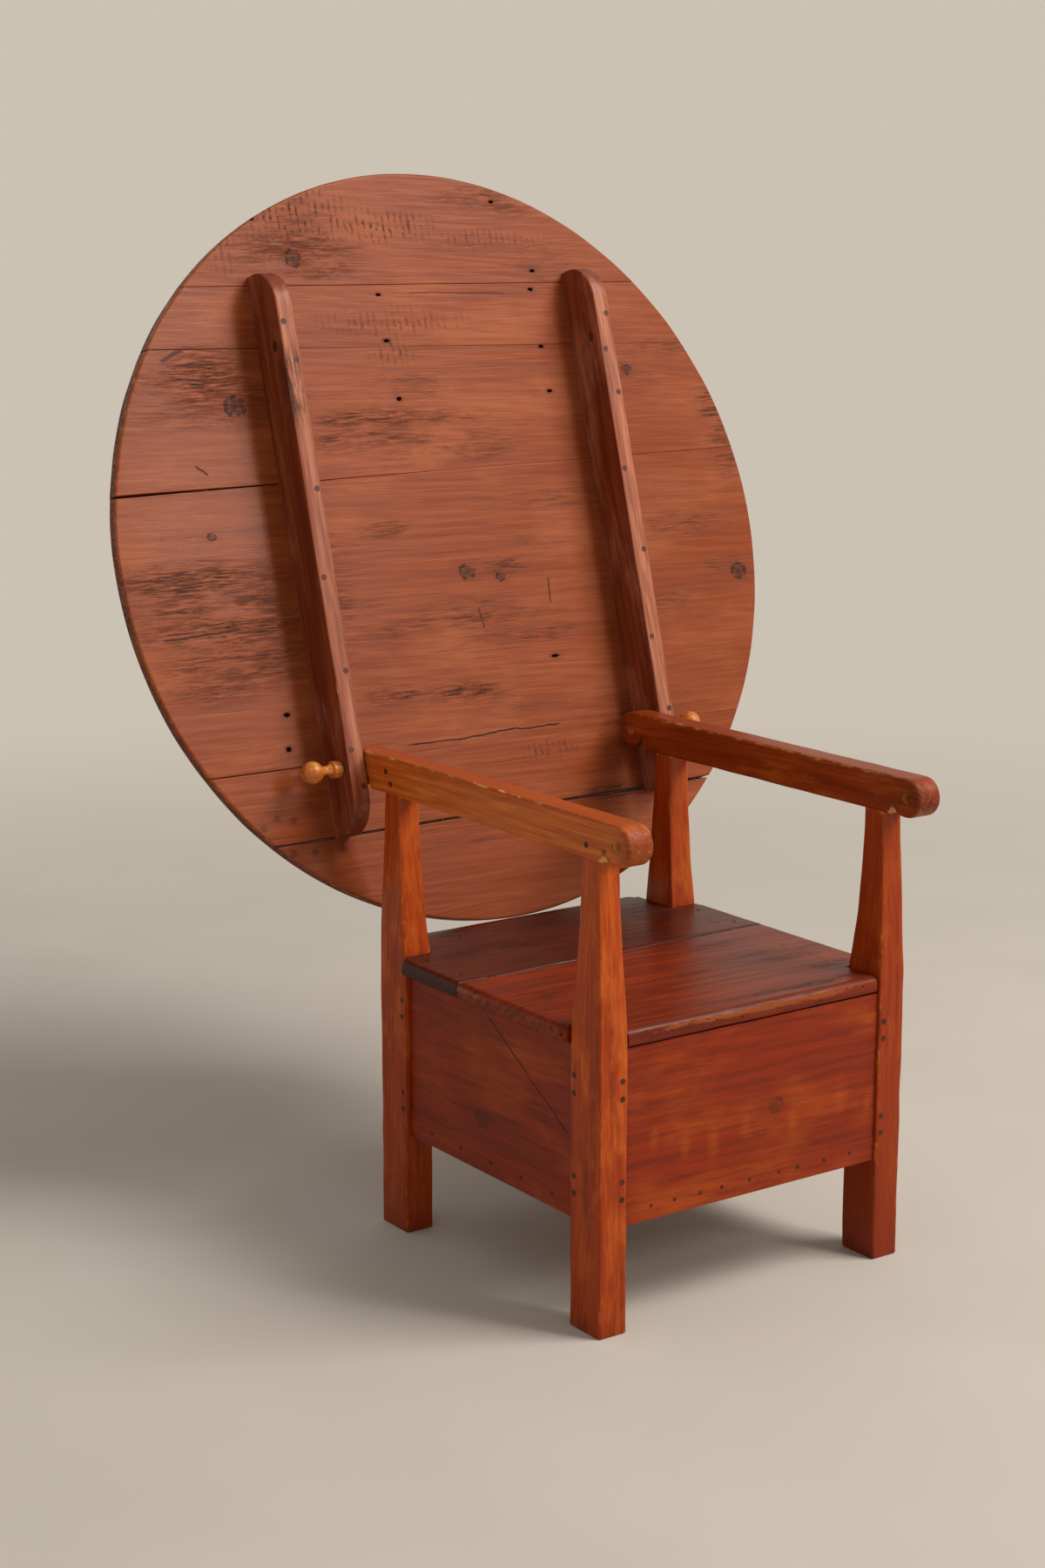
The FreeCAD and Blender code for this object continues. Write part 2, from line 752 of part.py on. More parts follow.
def batten_plugs(room):
    """Wooden plugs over the screws of the left batten, or their holes."""
    plugs = []
    for x, y in plug_places():
        start = Vector(x, y, batten_low - plug_proud)
        plugs.append(rod(plug_radius + room, start, Vector(x, y, batten_low + plug_length)))
    return plugs


def batten_screws(room):
    """Screws from the plugs through the left batten into the boards, or their holes."""
    screws = []
    for x, y in plug_places():
        screws.append(rod(batten_screw_radius + room, Vector(x, y, batten_low + plug_length),
                          Vector(x, y, underside + batten_screw_bite + room)))
    return screws


def make_batten():
    """The left batten, with its lower corners rounded, lying as under a table."""
    y0 = batten_far_y
    y1 = batten_near_y
    batten = box(batten_inner_x, batten_outer_x, y0, y1, batten_low, underside)
    ends = edges_where(batten, lambda p: near(p.z, batten_low) and (near(p.y, y0) or near(p.y, y1)))
    batten = batten.makeFillet(batten_end_radius, ends)
    longs = edges_where(batten, lambda p: near(p.z, batten_low) and p.y > y0 and p.y < y1)
    batten = batten.makeFillet(batten_edge, [edge for edge in longs if edge.Length > batten_end_radius])
    holes = batten_plugs(peg_clearance) + batten_screws(peg_clearance)
    for eye_y in (front_eye_y, rear_eye_y):
        holes.append(rod(bore_radius, Vector(batten_inner_x - overrun, eye_y, pivot_height),
                         Vector(batten_outer_x + overrun, eye_y, pivot_height)))
    return cut_all(batten, holes)


def make_top_boards():
    """The boards of the top, from the far edge of the table to the edge by the pivot."""
    disc = make_disc()
    screws = batten_screws(peg_clearance)
    screws += [flipped(screw, axis_x) for screw in screws]
    holes = seam_dowels(dowel_radius + peg_clearance, dowel_end_gap) + screws
    return [cut_all(disc.common(board_strip(number)), holes) for number in range(len(seam_shares) + 1)]


def tipped(shape):
    """A piece of the top, turned up about the pivot into the chair's back."""
    turned = shape.copy()
    turned.rotate(Vector(0, rear_eye_y, pivot_height), axis_x, -90 - lean_angle)
    return turned


nodes = {}


def pair(name, left_shape):
    """Store a left piece and its mirror image on the right."""
    nodes[name + "_left"] = left_shape
    nodes[name + "_right"] = flipped(left_shape, axis_x)


# Frame
pair("rear_leg", make_leg(rear_arm_peg_shares))
pair("front_leg", flipped(make_leg(front_arm_peg_shares), axis_y))
pair("arm", make_arm())
back_panel = make_back_panel()
side_panel = make_side_panel()
nodes["back_panel"] = cut_all(back_panel, bottom_nail_holes + seat_nail_holes)
nodes["front_panel"] = cut_all(flipped(back_panel, axis_y), bottom_nail_holes)
pair("side_panel", cut_all(side_panel, bottom_nail_holes + seat_nail_holes))
for number, board in enumerate(make_bottom_boards(), 1):
    nodes["box_bottom_board_%d" % number] = board

# Pegs and nails of the frame
back_pegs = long_pegs(peg_radius)
back_pegs += [flipped(peg, axis_x) for peg in back_pegs]
left_pegs = side_pegs(peg_radius)
left_pegs += [flipped(peg, axis_y) for peg in left_pegs]
nodes["back_panel_pegs"] = grouped(back_pegs)
nodes["front_panel_pegs"] = grouped([flipped(peg, axis_y) for peg in back_pegs])
pair("side_panel_pegs", grouped(left_pegs))
left_arm_pegs = arm_pegs(peg_radius, rear_arm_peg_shares)
left_arm_pegs += [flipped(peg, axis_y) for peg in arm_pegs(peg_radius, front_arm_peg_shares)]
pair("arm_pegs", grouped(left_arm_pegs))
nodes["box_bottom_nails"] = grouped([nail(*place) for place in bottom_nails])
nodes["seat_board_nails"] = grouped([nail(*place) for place in seat_nails])

# Seat boards and hinges
back_holes = [hinge_recess(1)] + leaf_screw_holes(1)
back_holes += [flipped(hole, axis_x) for hole in back_holes]
lid_holes = [hinge_recess(-1)] + leaf_screw_holes(-1)
lid_holes += [flipped(hole, axis_x) for hole in lid_holes]
nodes["seat_back_board"] = cut_all(make_rear_board(), back_holes + seat_nail_holes)
nodes["seat_lid"] = cut_all(make_lid(), lid_holes)
pair("hinge_back_leaf", make_leaf(1))
pair("hinge_lid_leaf", make_leaf(-1))
pair("hinge_pin", make_hinge_pin())
back_screws = [leaf_screw(start, 1) for start in leaf_screw_places(1)]
lid_screws = [leaf_screw(start, -1) for start in leaf_screw_places(-1)]
nodes["hinge_back_screws"] = grouped(back_screws + [flipped(screw, axis_x) for screw in back_screws])
nodes["hinge_lid_screws"] = grouped(lid_screws + [flipped(screw, axis_x) for screw in lid_screws])

# Round top, its battens and the pivot pins
for number, board in enumerate(make_top_boards(), 1):
    nodes["top_board_%d" % number] = tipped(board)
left_batten = make_batten()
left_plugs = batten_plugs(0)
left_screws = batten_screws(0)
nodes["batten_left"] = tipped(left_batten)
nodes["batten_right"] = tipped(flipped(left_batten, axis_x))
nodes["batten_plugs_left"] = tipped(grouped(left_plugs))
nodes["batten_plugs_right"] = tipped(flipped(grouped(left_plugs), axis_x))
nodes["batten_screws"] = tipped(grouped(left_screws + [flipped(screw, axis_x) for screw in left_screws]))
nodes["top_dowels"] = tipped(grouped(seam_dowels(dowel_radius, 0)))
pair("pivot_pin", make_pin())

os.makedirs("parts", exist_ok=True)
for name, shape in nodes.items():
    moved = shape.copy()
    moved.translate(origin_shift)
    moved.exportStep("parts/%s.step" % name)
    solids = moved.Solids
    print("%-24s solids %2d valid %s volume %.1f" % (name, len(solids), moved.isValid(), moved.Volume))

print("origin shift", round(origin_shift.y, 3))
print("pivot y %.3f z %.3f" % (rear_eye_y + origin_shift.y, pivot_height))
print("front eye y %.3f" % (front_eye_y + origin_shift.y))
print("lid hinge y %.3f z %.3f" % (seat_seam + origin_shift.y, hinge_axis_z))
print("top offset %.3f centre y %.3f" % (top_offset, top_centre_y + origin_shift.y))
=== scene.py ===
# %% [markdown]
# A chair table is an armchair whose tall round back tips forward and becomes a table.
# The solids of its construction are already packed as a frame, in metres, with the chair
# facing -Y and the floor at zero. The frame could be shown as it is, but clean solids look
# new. Here each piece of old wood gets its own mesh with worn edges, and its own finish.

# %% Load the frame
import json
import math
import bmesh
import bpy
import numpy as np
from mathutils import Matrix, Vector, noise

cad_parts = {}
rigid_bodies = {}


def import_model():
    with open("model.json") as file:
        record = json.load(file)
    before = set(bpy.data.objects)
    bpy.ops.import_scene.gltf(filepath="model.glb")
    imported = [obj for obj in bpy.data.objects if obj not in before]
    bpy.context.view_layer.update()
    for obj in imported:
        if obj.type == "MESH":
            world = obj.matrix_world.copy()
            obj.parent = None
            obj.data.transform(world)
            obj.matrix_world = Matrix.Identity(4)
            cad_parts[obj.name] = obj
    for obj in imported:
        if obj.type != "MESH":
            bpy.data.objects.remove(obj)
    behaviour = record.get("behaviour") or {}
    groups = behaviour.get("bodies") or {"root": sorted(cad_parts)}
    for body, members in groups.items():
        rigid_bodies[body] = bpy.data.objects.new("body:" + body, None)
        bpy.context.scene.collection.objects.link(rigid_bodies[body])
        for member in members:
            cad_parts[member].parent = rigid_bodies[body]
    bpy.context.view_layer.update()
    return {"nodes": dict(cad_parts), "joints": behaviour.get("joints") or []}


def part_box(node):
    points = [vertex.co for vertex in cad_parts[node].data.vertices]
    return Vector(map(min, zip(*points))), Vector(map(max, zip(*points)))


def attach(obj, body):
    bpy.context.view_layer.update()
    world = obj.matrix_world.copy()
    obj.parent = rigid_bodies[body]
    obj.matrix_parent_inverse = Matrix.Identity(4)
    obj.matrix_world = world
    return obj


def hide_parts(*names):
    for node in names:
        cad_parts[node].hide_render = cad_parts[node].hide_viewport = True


for leftover in list(bpy.data.objects):
    bpy.data.objects.remove(leftover)
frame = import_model()

# %% [markdown]
# The photograph was taken from the front and a little to the sitter's right, from about
# eye height. A camera could be aimed by hand with a Track To constraint, but its place was
# worked out from points and edges of the legs, arms, seat and rim, so it is simply set.
# The place is given from the middle of the four feet, which the frame's boxes tell us.

# %% Camera
leg_names = ["%s_leg_%s" % (end, side) for end in ("front", "rear") for side in ("left", "right")]
leg_boxes = [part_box(name) for name in leg_names]
foot_low = Vector([min(low[axis] for low, high in leg_boxes) for axis in range(3)])
foot_high = Vector([max(high[axis] for low, high in leg_boxes) for axis in range(3)])
base_middle = (foot_low + foot_high) / 2
base_middle.z = 0
camera_place = Vector((-2.2968, -2.9640, 1.4858))
camera_dip, camera_turn = 12.0, -35.2

camera_data = bpy.data.cameras.new("viewpoint")
camera_data.sensor_fit = "VERTICAL"
camera_data.sensor_height = 36.0
camera_data.lens = 61.13
camera = bpy.data.objects.new("viewpoint", camera_data)
camera.location = base_middle + camera_place
camera.rotation_euler = (math.radians(90 - camera_dip), 0, math.radians(camera_turn))
bpy.context.scene.collection.objects.link(camera)
bpy.context.scene.camera = camera
print("camera at", [round(c, 3) for c in camera.location])

# %% [markdown]
# The room light is broad and soft: it comes from the front and from the sitter's left, so
# the battens shade the boards beside them. One large area lamp gives that shadow, a small
# one puts a sheen on the wood, and the world lights the rest. The world shows the camera a
# pale backdrop and lights the wood at a lower level, which the Light Path node can tell
# apart.

# %% Colours as they look on the screen
def tone(red, green, blue):
    """A screen colour, 0 to 255, as the linear colour that a shader wants."""
    def linear(value):
        value = value / 255
        return value / 12.92 if value < 0.04045 else ((value + 0.055) / 1.055) ** 2.4
    return (linear(red), linear(green), linear(blue), 1.0)


print("a mid tan is", [round(c, 3) for c in tone(168, 72, 28)])

# %% Short words for shader nodes
def add_node(tree, kind, sockets=None, **settings):
    """Add a shader node, set its settings, and fill or link its sockets."""
    made = tree.nodes.new("ShaderNode" + kind)
    for key, value in settings.items():
        setattr(made, key, value)
    for key, value in (sockets or {}).items():
        if isinstance(value, bpy.types.NodeSocket):
            tree.links.new(value, made.inputs[key])
        else:
            made.inputs[key].default_value = value
    return made


def reckon(operation, first, second=0.0, clamp=False):
    """One sum on two grey values; the first is a socket, which knows its own tree."""
    sockets = {0: first, 1: second}
    return add_node(first.id_data, "Math", sockets, operation=operation, use_clamp=clamp).outputs[0]


def times(first, second):
    """Two grey values multiplied."""
    return reckon("MULTIPLY", first, second)


def plus(first, second, clamp=False):
    """Two grey values added, and kept within 0 to 1 if asked."""
    return reckon("ADD", first, second, clamp)


def minus(first, second):
    """One grey value less another."""
    return reckon("SUBTRACT", first, second)


def larger(first, second):
    """The larger of two grey values."""
    return reckon("MAXIMUM", first, second)


def backdrop_rays(tree):
    """1 for rays that should meet the backdrop: from the camera, mirrored, or through glass."""
    path = add_node(tree, "LightPath")
    seen = larger(path.outputs["Is Camera Ray"], path.outputs["Is Glossy Ray"])
    return larger(seen, path.outputs["Is Transmission Ray"])


print("words: add_node, reckon, times, plus, minus, larger, backdrop_rays")

# %% Lamps and world
bpy.context.scene.view_settings.view_transform = "Standard"
aim_height = 0.75


def area_lamp(name, azimuth, height, distance, size, power, colour):
    """A square lamp that looks at the chair; azimuth is degrees from the front towards +X."""
    lamp = bpy.data.lights.new(name, "AREA")
    lamp.size = size
    lamp.energy = power
    lamp.color = colour
    aim = base_middle + Vector((0, 0, aim_height))
    turn, rise = math.radians(azimuth), math.radians(height)
    away = Vector((math.sin(turn) * math.cos(rise), -math.cos(turn) * math.cos(rise), math.sin(rise)))
    holder = bpy.data.objects.new(name, lamp)
    holder.location = aim + away * distance
    holder.rotation_euler = away.to_track_quat("Z", "Y").to_euler()
    bpy.context.scene.collection.objects.link(holder)
    print(name, "at", [round(c, 2) for c in holder.location])


area_lamp("window_light", azimuth=44, height=49, distance=7.0, size=3.1, power=365, colour=(1.0, 0.965, 0.91))
area_lamp("sheen_light", azimuth=26, height=24, distance=4.6, size=0.8, power=34, colour=(1.0, 0.97, 0.93))

backdrop_colour = tone(204, 194, 179)
world = bpy.data.worlds.new("room")
bpy.context.scene.world = world
world.use_nodes = True
sky = world.node_tree
sky.nodes.clear()
seen = backdrop_rays(sky)
room = add_node(sky, "Background", {"Color": (1.0, 0.97, 0.93, 1), "Strength": 0.38})
backdrop = add_node(sky, "Background", {"Color": backdrop_colour, "Strength": 1.0})
either = add_node(sky, "MixShader", {0: seen, 1: room.outputs[0], 2: backdrop.outputs[0]})
add_node(sky, "OutputWorld", {"Surface": either.outputs[0]})

# %% [markdown]
# The chair stands on a plain pale floor. A Plane would do, and a round sheet of the same
# kind shows no corner from any side. Its finish is a pale matt paint with a faint cloud of
# noise, so that it is not one flat colour. Far from the chair the lamp no longer reaches, so
# there the floor glows softly in the backdrop's colour, and no hard horizon shows.

# %% Words for noise, mixing and coordinates
def noise_value(vector, scale=1.0, detail=2.0, rough=0.5):
    """A noise texture's grey value."""
    sockets = {"Vector": vector, "Scale": scale, "Detail": detail, "Roughness": rough}
    return add_node(vector.id_data, "TexNoise", sockets).outputs[0]


def between(value, low, high):
    """A value turned into 0 to 1 between two limits, with soft ends."""
    sockets = {"Value": value, "From Min": low, "From Max": high}
    return add_node(value.id_data, "MapRange", sockets, interpolation_type="SMOOTHSTEP").outputs[0]


def mixed(share, first, second):
    """Two colours mixed by a share."""
    return add_node(share.id_data, "Mix", {0: share, 6: first, 7: second}, data_type="RGBA").outputs[2]


def vector_sum(operation, first, second=(0, 0, 0)):
    """One sum on coordinates; a length or a dot product is a value, and the others are coordinates."""
    made = add_node(first.id_data, "VectorMath", {0: first, 1: second}, operation=operation)
    return made.outputs["Value" if operation in ("LENGTH", "DOT_PRODUCT") else "Vector"]


def link(output, socket):
    """Join an output to a socket."""
    output.id_data.links.new(output, socket)


def new_finish(name):
    """An empty material; returns it with its shader and its coordinates."""
    finish = bpy.data.materials.new(name)
    finish.use_nodes = True
    tree = finish.node_tree
    tree.nodes.clear()
    shader = add_node(tree, "BsdfPrincipled", {"Specular IOR Level": 0.3})
    add_node(tree, "OutputMaterial", {"Surface": shader.outputs[0]})
    return finish, shader, add_node(tree, "TexCoord").outputs["Object"]


print("words: noise_value, between, mixed, vector_sum, link, new_finish")

# %% Floor
floor_radius = 14.0
glow_start, glow_full = 1.2, 4.5
floor_mesh = bpy.data.meshes.new("floor")
floor_form = bmesh.new()
bmesh.ops.create_circle(floor_form, cap_ends=True, segments=96, radius=floor_radius)
floor_form.to_mesh(floor_mesh)
floor_form.free()
floor = bpy.data.objects.new("floor", floor_mesh)
bpy.context.scene.collection.objects.link(floor)

floor_paint, shader, spot = new_finish("floor_paint")
tree = floor_paint.node_tree
cloud = between(noise_value(spot, 2.5, 3), 0.35, 0.65)
link(mixed(cloud, tone(205, 197, 185), tone(208, 200, 189)), shader.inputs["Base Color"])
shader.inputs["Roughness"].default_value = 0.85
glow = add_node(tree, "Emission", {"Color": backdrop_colour, "Strength": 1.0})
far_off = between(vector_sum("LENGTH", spot), glow_start, glow_full)
share = times(far_off, backdrop_rays(tree))
both = add_node(tree, "MixShader", {0: share, 1: shader.outputs[0], 2: glow.outputs[0]})
floor_output = next(node for node in tree.nodes if node.type == "OUTPUT_MATERIAL")
link(both.outputs[0], floor_output.inputs["Surface"])
floor_mesh.materials.append(floor_paint)
print("floor radius", floor_radius, "m")

# %% [markdown]
# Old stained pine has several layers: long fibres, the bands of the yearly rings, cloudy
# stain, black smears where the plane tore the grain, and pale wood where hands and knocks
# have worn the edges. A photograph of wood could be wrapped on, but then every board would
# repeat it. Noise stretched along the grain gives each board its own figure, and it has
# no seams. Each piece's mesh carries a few painted numbers: "wear" near edges, "smudge" for
# dark patches and some painted shade, "saw" where saw marks were left, "rub" and "deep" for
# paler and darker stain and in places painted highlight, reflection and shade, "polish" for
# gloss, "pit" for small holes, and "front" for the face that has listed marks. The finish
# breaks them up with noise.

# %% Marks that sit at one place
def stretched(vector, scales):
    """Coordinates scaled by a different amount along each axis."""
    return vector_sum("MULTIPLY", vector, scales)


def nearest_spot(vector, spots):
    """How far, in spot sizes, a point is from the nearest of some oval spots."""
    nearest = None
    for along, across, length, breadth in spots:
        away = vector_sum("SUBTRACT", vector, (along, across, 0))
        far = vector_sum("LENGTH", stretched(away, (1 / length, 1 / breadth, 0)))
        nearest = far if nearest is None else reckon("MINIMUM", nearest, far)
    return nearest


def line_mark(vector, start, end, width):
    """A thin straight mark from one point to another, soft at its ends."""
    run = Vector((end[0] - start[0], end[1] - start[1], 0))
    half = run.length / 2
    run.normalize()
    side = Vector((-run.y, run.x, 0))
    away = vector_sum("SUBTRACT", vector, (start[0], start[1], 0))
    off = vector_sum("DOT_PRODUCT", away, side)
    on = vector_sum("DOT_PRODUCT", away, run)
    thin = between(reckon("ABSOLUTE", off), width, width * 0.3)
    inside = between(reckon("ABSOLUTE", minus(on, half)), half, half * 0.84)
    return times(thin, inside)


print("marks: spots and lines")

# %% Words for uneven wood
def painted(tree, name):
    """A number that was painted on the mesh's points."""
    return add_node(tree, "Attribute", attribute_name=name).outputs["Fac"]


def off_centre(vector, scale, detail=2.0):
    """Coloured noise moved so that its middle is zero, for bending coordinates."""
    sockets = {"Vector": vector, "Scale": scale, "Detail": detail}
    colour = add_node(vector.id_data, "TexNoise", sockets).outputs["Color"]
    return vector_sum("SUBTRACT", colour, (0.5, 0.5, 0.5))


def moved(vector, offset):
    """Coordinates with another vector added."""
    return vector_sum("ADD", vector, offset)


def ragged(spot, far, scale, depth):
    """A distance made uneven with noise, so that a spot has no neat outline."""
    rough = minus(noise_value(spot, scale, 4, 0.7), 0.5)
    return plus(far, times(rough, depth))


def figure(vector, scales, detail, rough):
    """Noise stretched along the grain."""
    return noise_value(stretched(vector, scales), 1, detail, rough)


def spread(value, low, high, start=0.0, stop=1.0):
    """A value between start and stop, stretched to run from low to high."""
    sockets = {"Value": value, "From Min": start, "From Max": stop, "To Min": low, "To Max": high}
    return add_node(value.id_data, "MapRange", sockets).outputs[0]


def roughen(shader, height, strength, distance):
    """Fine bumps on a finish."""
    sockets = {"Strength": strength, "Distance": distance, "Height": height}
    link(add_node(height.id_data, "Bump", sockets).outputs[0], shader.inputs["Normal"])


def saw_ticks(place):
    """Short cross marks that a saw left, in broken rows."""
    sockets = {"Vector": place, "Scale": 27.0, "Distortion": 2.2, "Detail": 2.0, "Detail Scale": 3.0}
    wave = add_node(place.id_data, "TexWave", sockets, wave_type="BANDS", bands_direction="X").outputs[1]
    broken = between(figure(place, (45, 75, 75), 3, 0.6), 0.40, 0.60)
    return times(between(wave, 0.55, 0.95), broken)


print("words: painted, off_centre, moved, ragged, figure, spread, roughen, saw_ticks")

# %% Knots and old nail holes
pit_colour = tone(26, 13, 10)
knot_colour, knot_rim_colour = tone(60, 30, 18), tone(30, 18, 14)


def knot_marks(spot, flow, colour, lift, dark, knots, depth):
    """Knots: a dark halo along the grain, a brown eye, and a broken black rim that is sunk."""
    halos = [(x, v, length * 2.2, breadth * 1.3) for x, v, length, breadth in knots]
    wide = ragged(flow, nearest_spot(spot, halos), 30, 1.4)
    colour = mixed(times(between(wide, 1.9, 0.5), 0.65 * depth), colour, dark)
    far = ragged(spot, nearest_spot(spot, knots), 80, 1.1)
    far = ragged(spot, far, 260, 0.8)
    colour = mixed(times(between(far, 1.3, 0.1), 0.8 * depth), colour, knot_colour)
    rim = between(reckon("ABSOLUTE", minus(far, 0.95)), 0.30, 0.05)
    rim = times(rim, between(noise_value(spot, 95, 3), 0.40, 0.56))
    colour = mixed(times(rim, 0.85 * depth), colour, knot_rim_colour)
    return colour, minus(lift, times(rim, 0.9))


def hole_marks(tree, spot, colour, lift, mark, holes, depth):
    """Old nail holes: a stained ring with a dark pit in its middle."""
    far = ragged(spot, nearest_spot(spot, holes), 140, 0.8)
    shown = times(painted(tree, "front"), depth)
    pit = times(between(far, 1.25, 0.6), shown)
    stain = times(between(far, 2.8, 0.8), times(shown, 0.35))
    colour = mixed(stain, colour, mark)
    return mixed(pit, colour, pit_colour), minus(lift, times(pit, 0.6))


print("marks: knots and holes")

# %% One finish for all the old wood
def old_wood(name, colours, offset, ring=30.0, ring_depth=0.3, streak_size=70.0, streak_low=0.33,
             cloud_size=5.0, smears=0.35, wear=0.9, gloss=(0.30, 0.55), shine=0.2, coat=0.04, ticks=False,
             knots=(), holes=(), lines=(), rubs=(), knot_depth=1.0, hole_depth=1.0, grime_depth=0.9):
    """Stained wood whose grain runs along the piece's own first axis."""
    finish, shader, spot = new_finish(name)
    tree = finish.node_tree
    pale, body, dark, mark, worn = colours
    place = moved(spot, offset)
    sway = off_centre(stretched(place, (1.7, 6, 6)), 1.0)
    flow = moved(place, stretched(sway, (0, 0.022, 0.022)))

    # Fibres, streaks, clouds and yearly rings make the stain
    fibre = figure(flow, (8, 430, 430), 3, 0.65)
    streak = figure(flow, (2.6, streak_size, streak_size), 5, 0.66)
    cloud = figure(place, (cloud_size, cloud_size * 2.2, cloud_size * 2.2), 4, 0.6)
    rings = add_node(tree, "TexWave", {"Vector": stretched(flow, (0.09, 1, 1)), "Scale": ring,
                                       "Distortion": 7.0, "Detail": 3.0, "Detail Scale": 1.3,
                                       "Detail Roughness": 0.6},
                     wave_type="BANDS", bands_direction="DIAGONAL", wave_profile="SIN").outputs[1]
    lines_of_grain = between(streak, streak_low, 0.66)
    colour = mixed(lines_of_grain, dark, body)
    colour = mixed(times(between(cloud, 0.44, 0.70), 0.7), colour, pale)
    # Paler and darker stain painted on the mesh, which in places is painted highlight, reflection and shade
    colour = mixed(painted(tree, "rub"), colour, mixed(lines_of_grain, body, pale))
    colour = mixed(painted(tree, "deep"), colour, dark)
    if rubs:
        far = ragged(spot, nearest_spot(spot, rubs), 60, 1.6)
        rubbed = times(between(far, 1.8, 0.1), painted(tree, "front"))
        colour = mixed(times(rubbed, 0.55), colour, pale)
    shade = times(between(rings, 0.75, 0.15), ring_depth)
    shade = plus(shade, times(between(fibre, 0.52, 0.34), 0.42), True)
    colour = mixed(shade, colour, dark)

    # Grime settles where the grain was torn, in saw ticks and in scratches, and the dark patches painted on
    # the mesh bring painted shade with them in places
    tear = between(figure(flow, (26, 300, 300), 4, 0.72), 0.42, 0.62)
    clump = between(figure(place, (12, 34, 34), 4, 0.65), 0.30, 0.56)
    drift = between(figure(place, (3.3, 13, 13), 3, 0.6), 0.55, 0.72)
    grime_and_shade = plus(painted(tree, "smudge"), times(drift, smears), True)
    grime_and_shade = times(grime_and_shade, times(tear, clump))
    if ticks:
        tick = times(saw_ticks(place), painted(tree, "saw"))
        grime_and_shade = larger(grime_and_shade, times(tick, 0.8))
    crooked = moved(spot, stretched(off_centre(spot, 22.0, 3.0), (0.0, 0.012, 0)))
    for start, end, width, strength in lines:
        thin = times(line_mark(crooked, start, end, width), painted(tree, "front"))
        grime_and_shade = larger(grime_and_shade, times(thin, strength))
    colour = mixed(times(grime_and_shade, grime_depth), colour, mark)

    # Worn edges are pale, and small pits are dark
    scuff = minus(figure(place, (34, 90, 90), 4, 0.65), 0.5)
    scuff = plus(painted(tree, "wear"), times(scuff, 1.5))
    scuff = times(between(scuff, 0.55, 0.80), wear)
    colour = mixed(scuff, colour, worn)
    colour = mixed(painted(tree, "pit"), colour, pit_colour)
    lift = plus(times(fibre, 0.5), times(rings, 0.25))
    lift = minus(lift, times(grime_and_shade, 0.8))
    if knots:
        colour, lift = knot_marks(spot, flow, colour, lift, dark, knots, knot_depth)
    if holes:
        colour, lift = hole_marks(tree, spot, colour, lift, mark, holes, hole_depth)
    link(colour, shader.inputs["Base Color"])

    # Old varnish is duller where it is cloudy or dirty
    dull = minus(times(cloud, 0.7), times(painted(tree, "polish"), 0.3))
    dull = plus(dull, times(grime_and_shade, 0.5), True)
    link(spread(dull, *gloss, 0.15, 0.8), shader.inputs["Roughness"])
    for socket, value in (("Specular IOR Level", shine), ("Coat Weight", coat), ("Coat Roughness", 0.30)):
        shader.inputs[socket].default_value = value
    roughen(shader, lift, 0.55, 0.0012)
    return finish


def tones(*colours):
    """The five colours of a wood: pale, body, dark, mark and worn."""
    return [tone(*colour) for colour in colours]


top_tones = tones((178, 97, 56), (160, 80, 41), (132, 59, 30), (42, 27, 23), (180, 126, 86))
# A batten's pale colour also serves as the painted sheen on its narrow face.
batten_tones = tones((206, 132, 98), (160, 80, 46), (112, 46, 25), (44, 29, 26), (198, 146, 110))
leg_tones = tones((218, 106, 30), (188, 70, 6), (136, 43, 5), (54, 23, 10), (208, 112, 42))
arm_tones = {"right": tones((232, 132, 50), (206, 96, 28), (160, 66, 18), (58, 28, 15), (226, 172, 104)),
             "left": tones((192, 98, 30), (166, 68, 16), (128, 46, 12), (58, 28, 15), (206, 146, 78))}
panel_tones = tones((180, 76, 12), (150, 44, 2), (112, 31, 3), (44, 18, 11), (160, 78, 34))
back_seat_tones = tones((112, 38, 10), (90, 27, 6), (56, 18, 7), (32, 16, 11), (134, 80, 44))
lid_tones = tones((162, 56, 8), (126, 36, 4), (84, 24, 5), (32, 16, 11), (156, 80, 32))
print("each wood has", len(top_tones), "colours")

# %% [markdown]
# Most pieces here are boards: two broad faces, a rim between them and eased edges. A board
# could be a cube with a Bevel modifier, but worn edges are not even. So one helper lays a
# grid of points over the board's outline, drops the points near an edge by a worn radius
# that noise varies, and joins both faces with a wall. The mesh is closed, and it is fine
# enough to carry the painted numbers.

# %% Grid helpers for boards
mm = 0.001


def eased(distance, radius):
    """How far a rounded edge falls away at some distance from the edge."""
    inside = np.clip(radius - distance, 0, radius)
    return radius - np.sqrt(np.maximum(radius ** 2 - inside ** 2, 0))


def ripple(along, across, seed, size):
    """Gentle waves of a hand-planed face, about -1 to 1."""
    flat = [noise.noise((a / size, c / size, seed)) for a, c in zip(along.ravel(), across.ravel())]
    return np.array(flat).reshape(along.shape)


def graded(start, stop, step, fine=(0.0005, 0.0012, 0.0021, 0.0033, 0.005, 0.0075, 0.011)):
    """Places from start to stop, close together near both ends."""
    fine = [f for f in fine if f < (stop - start) / 3]
    middle = np.linspace(start + fine[-1], stop - fine[-1], max(2, int((stop - start) / step)))
    first = [start] + [start + f for f in fine[:-1]]
    last = [stop - f for f in fine[-2::-1]] + [stop]
    return np.concatenate([first, middle, last])


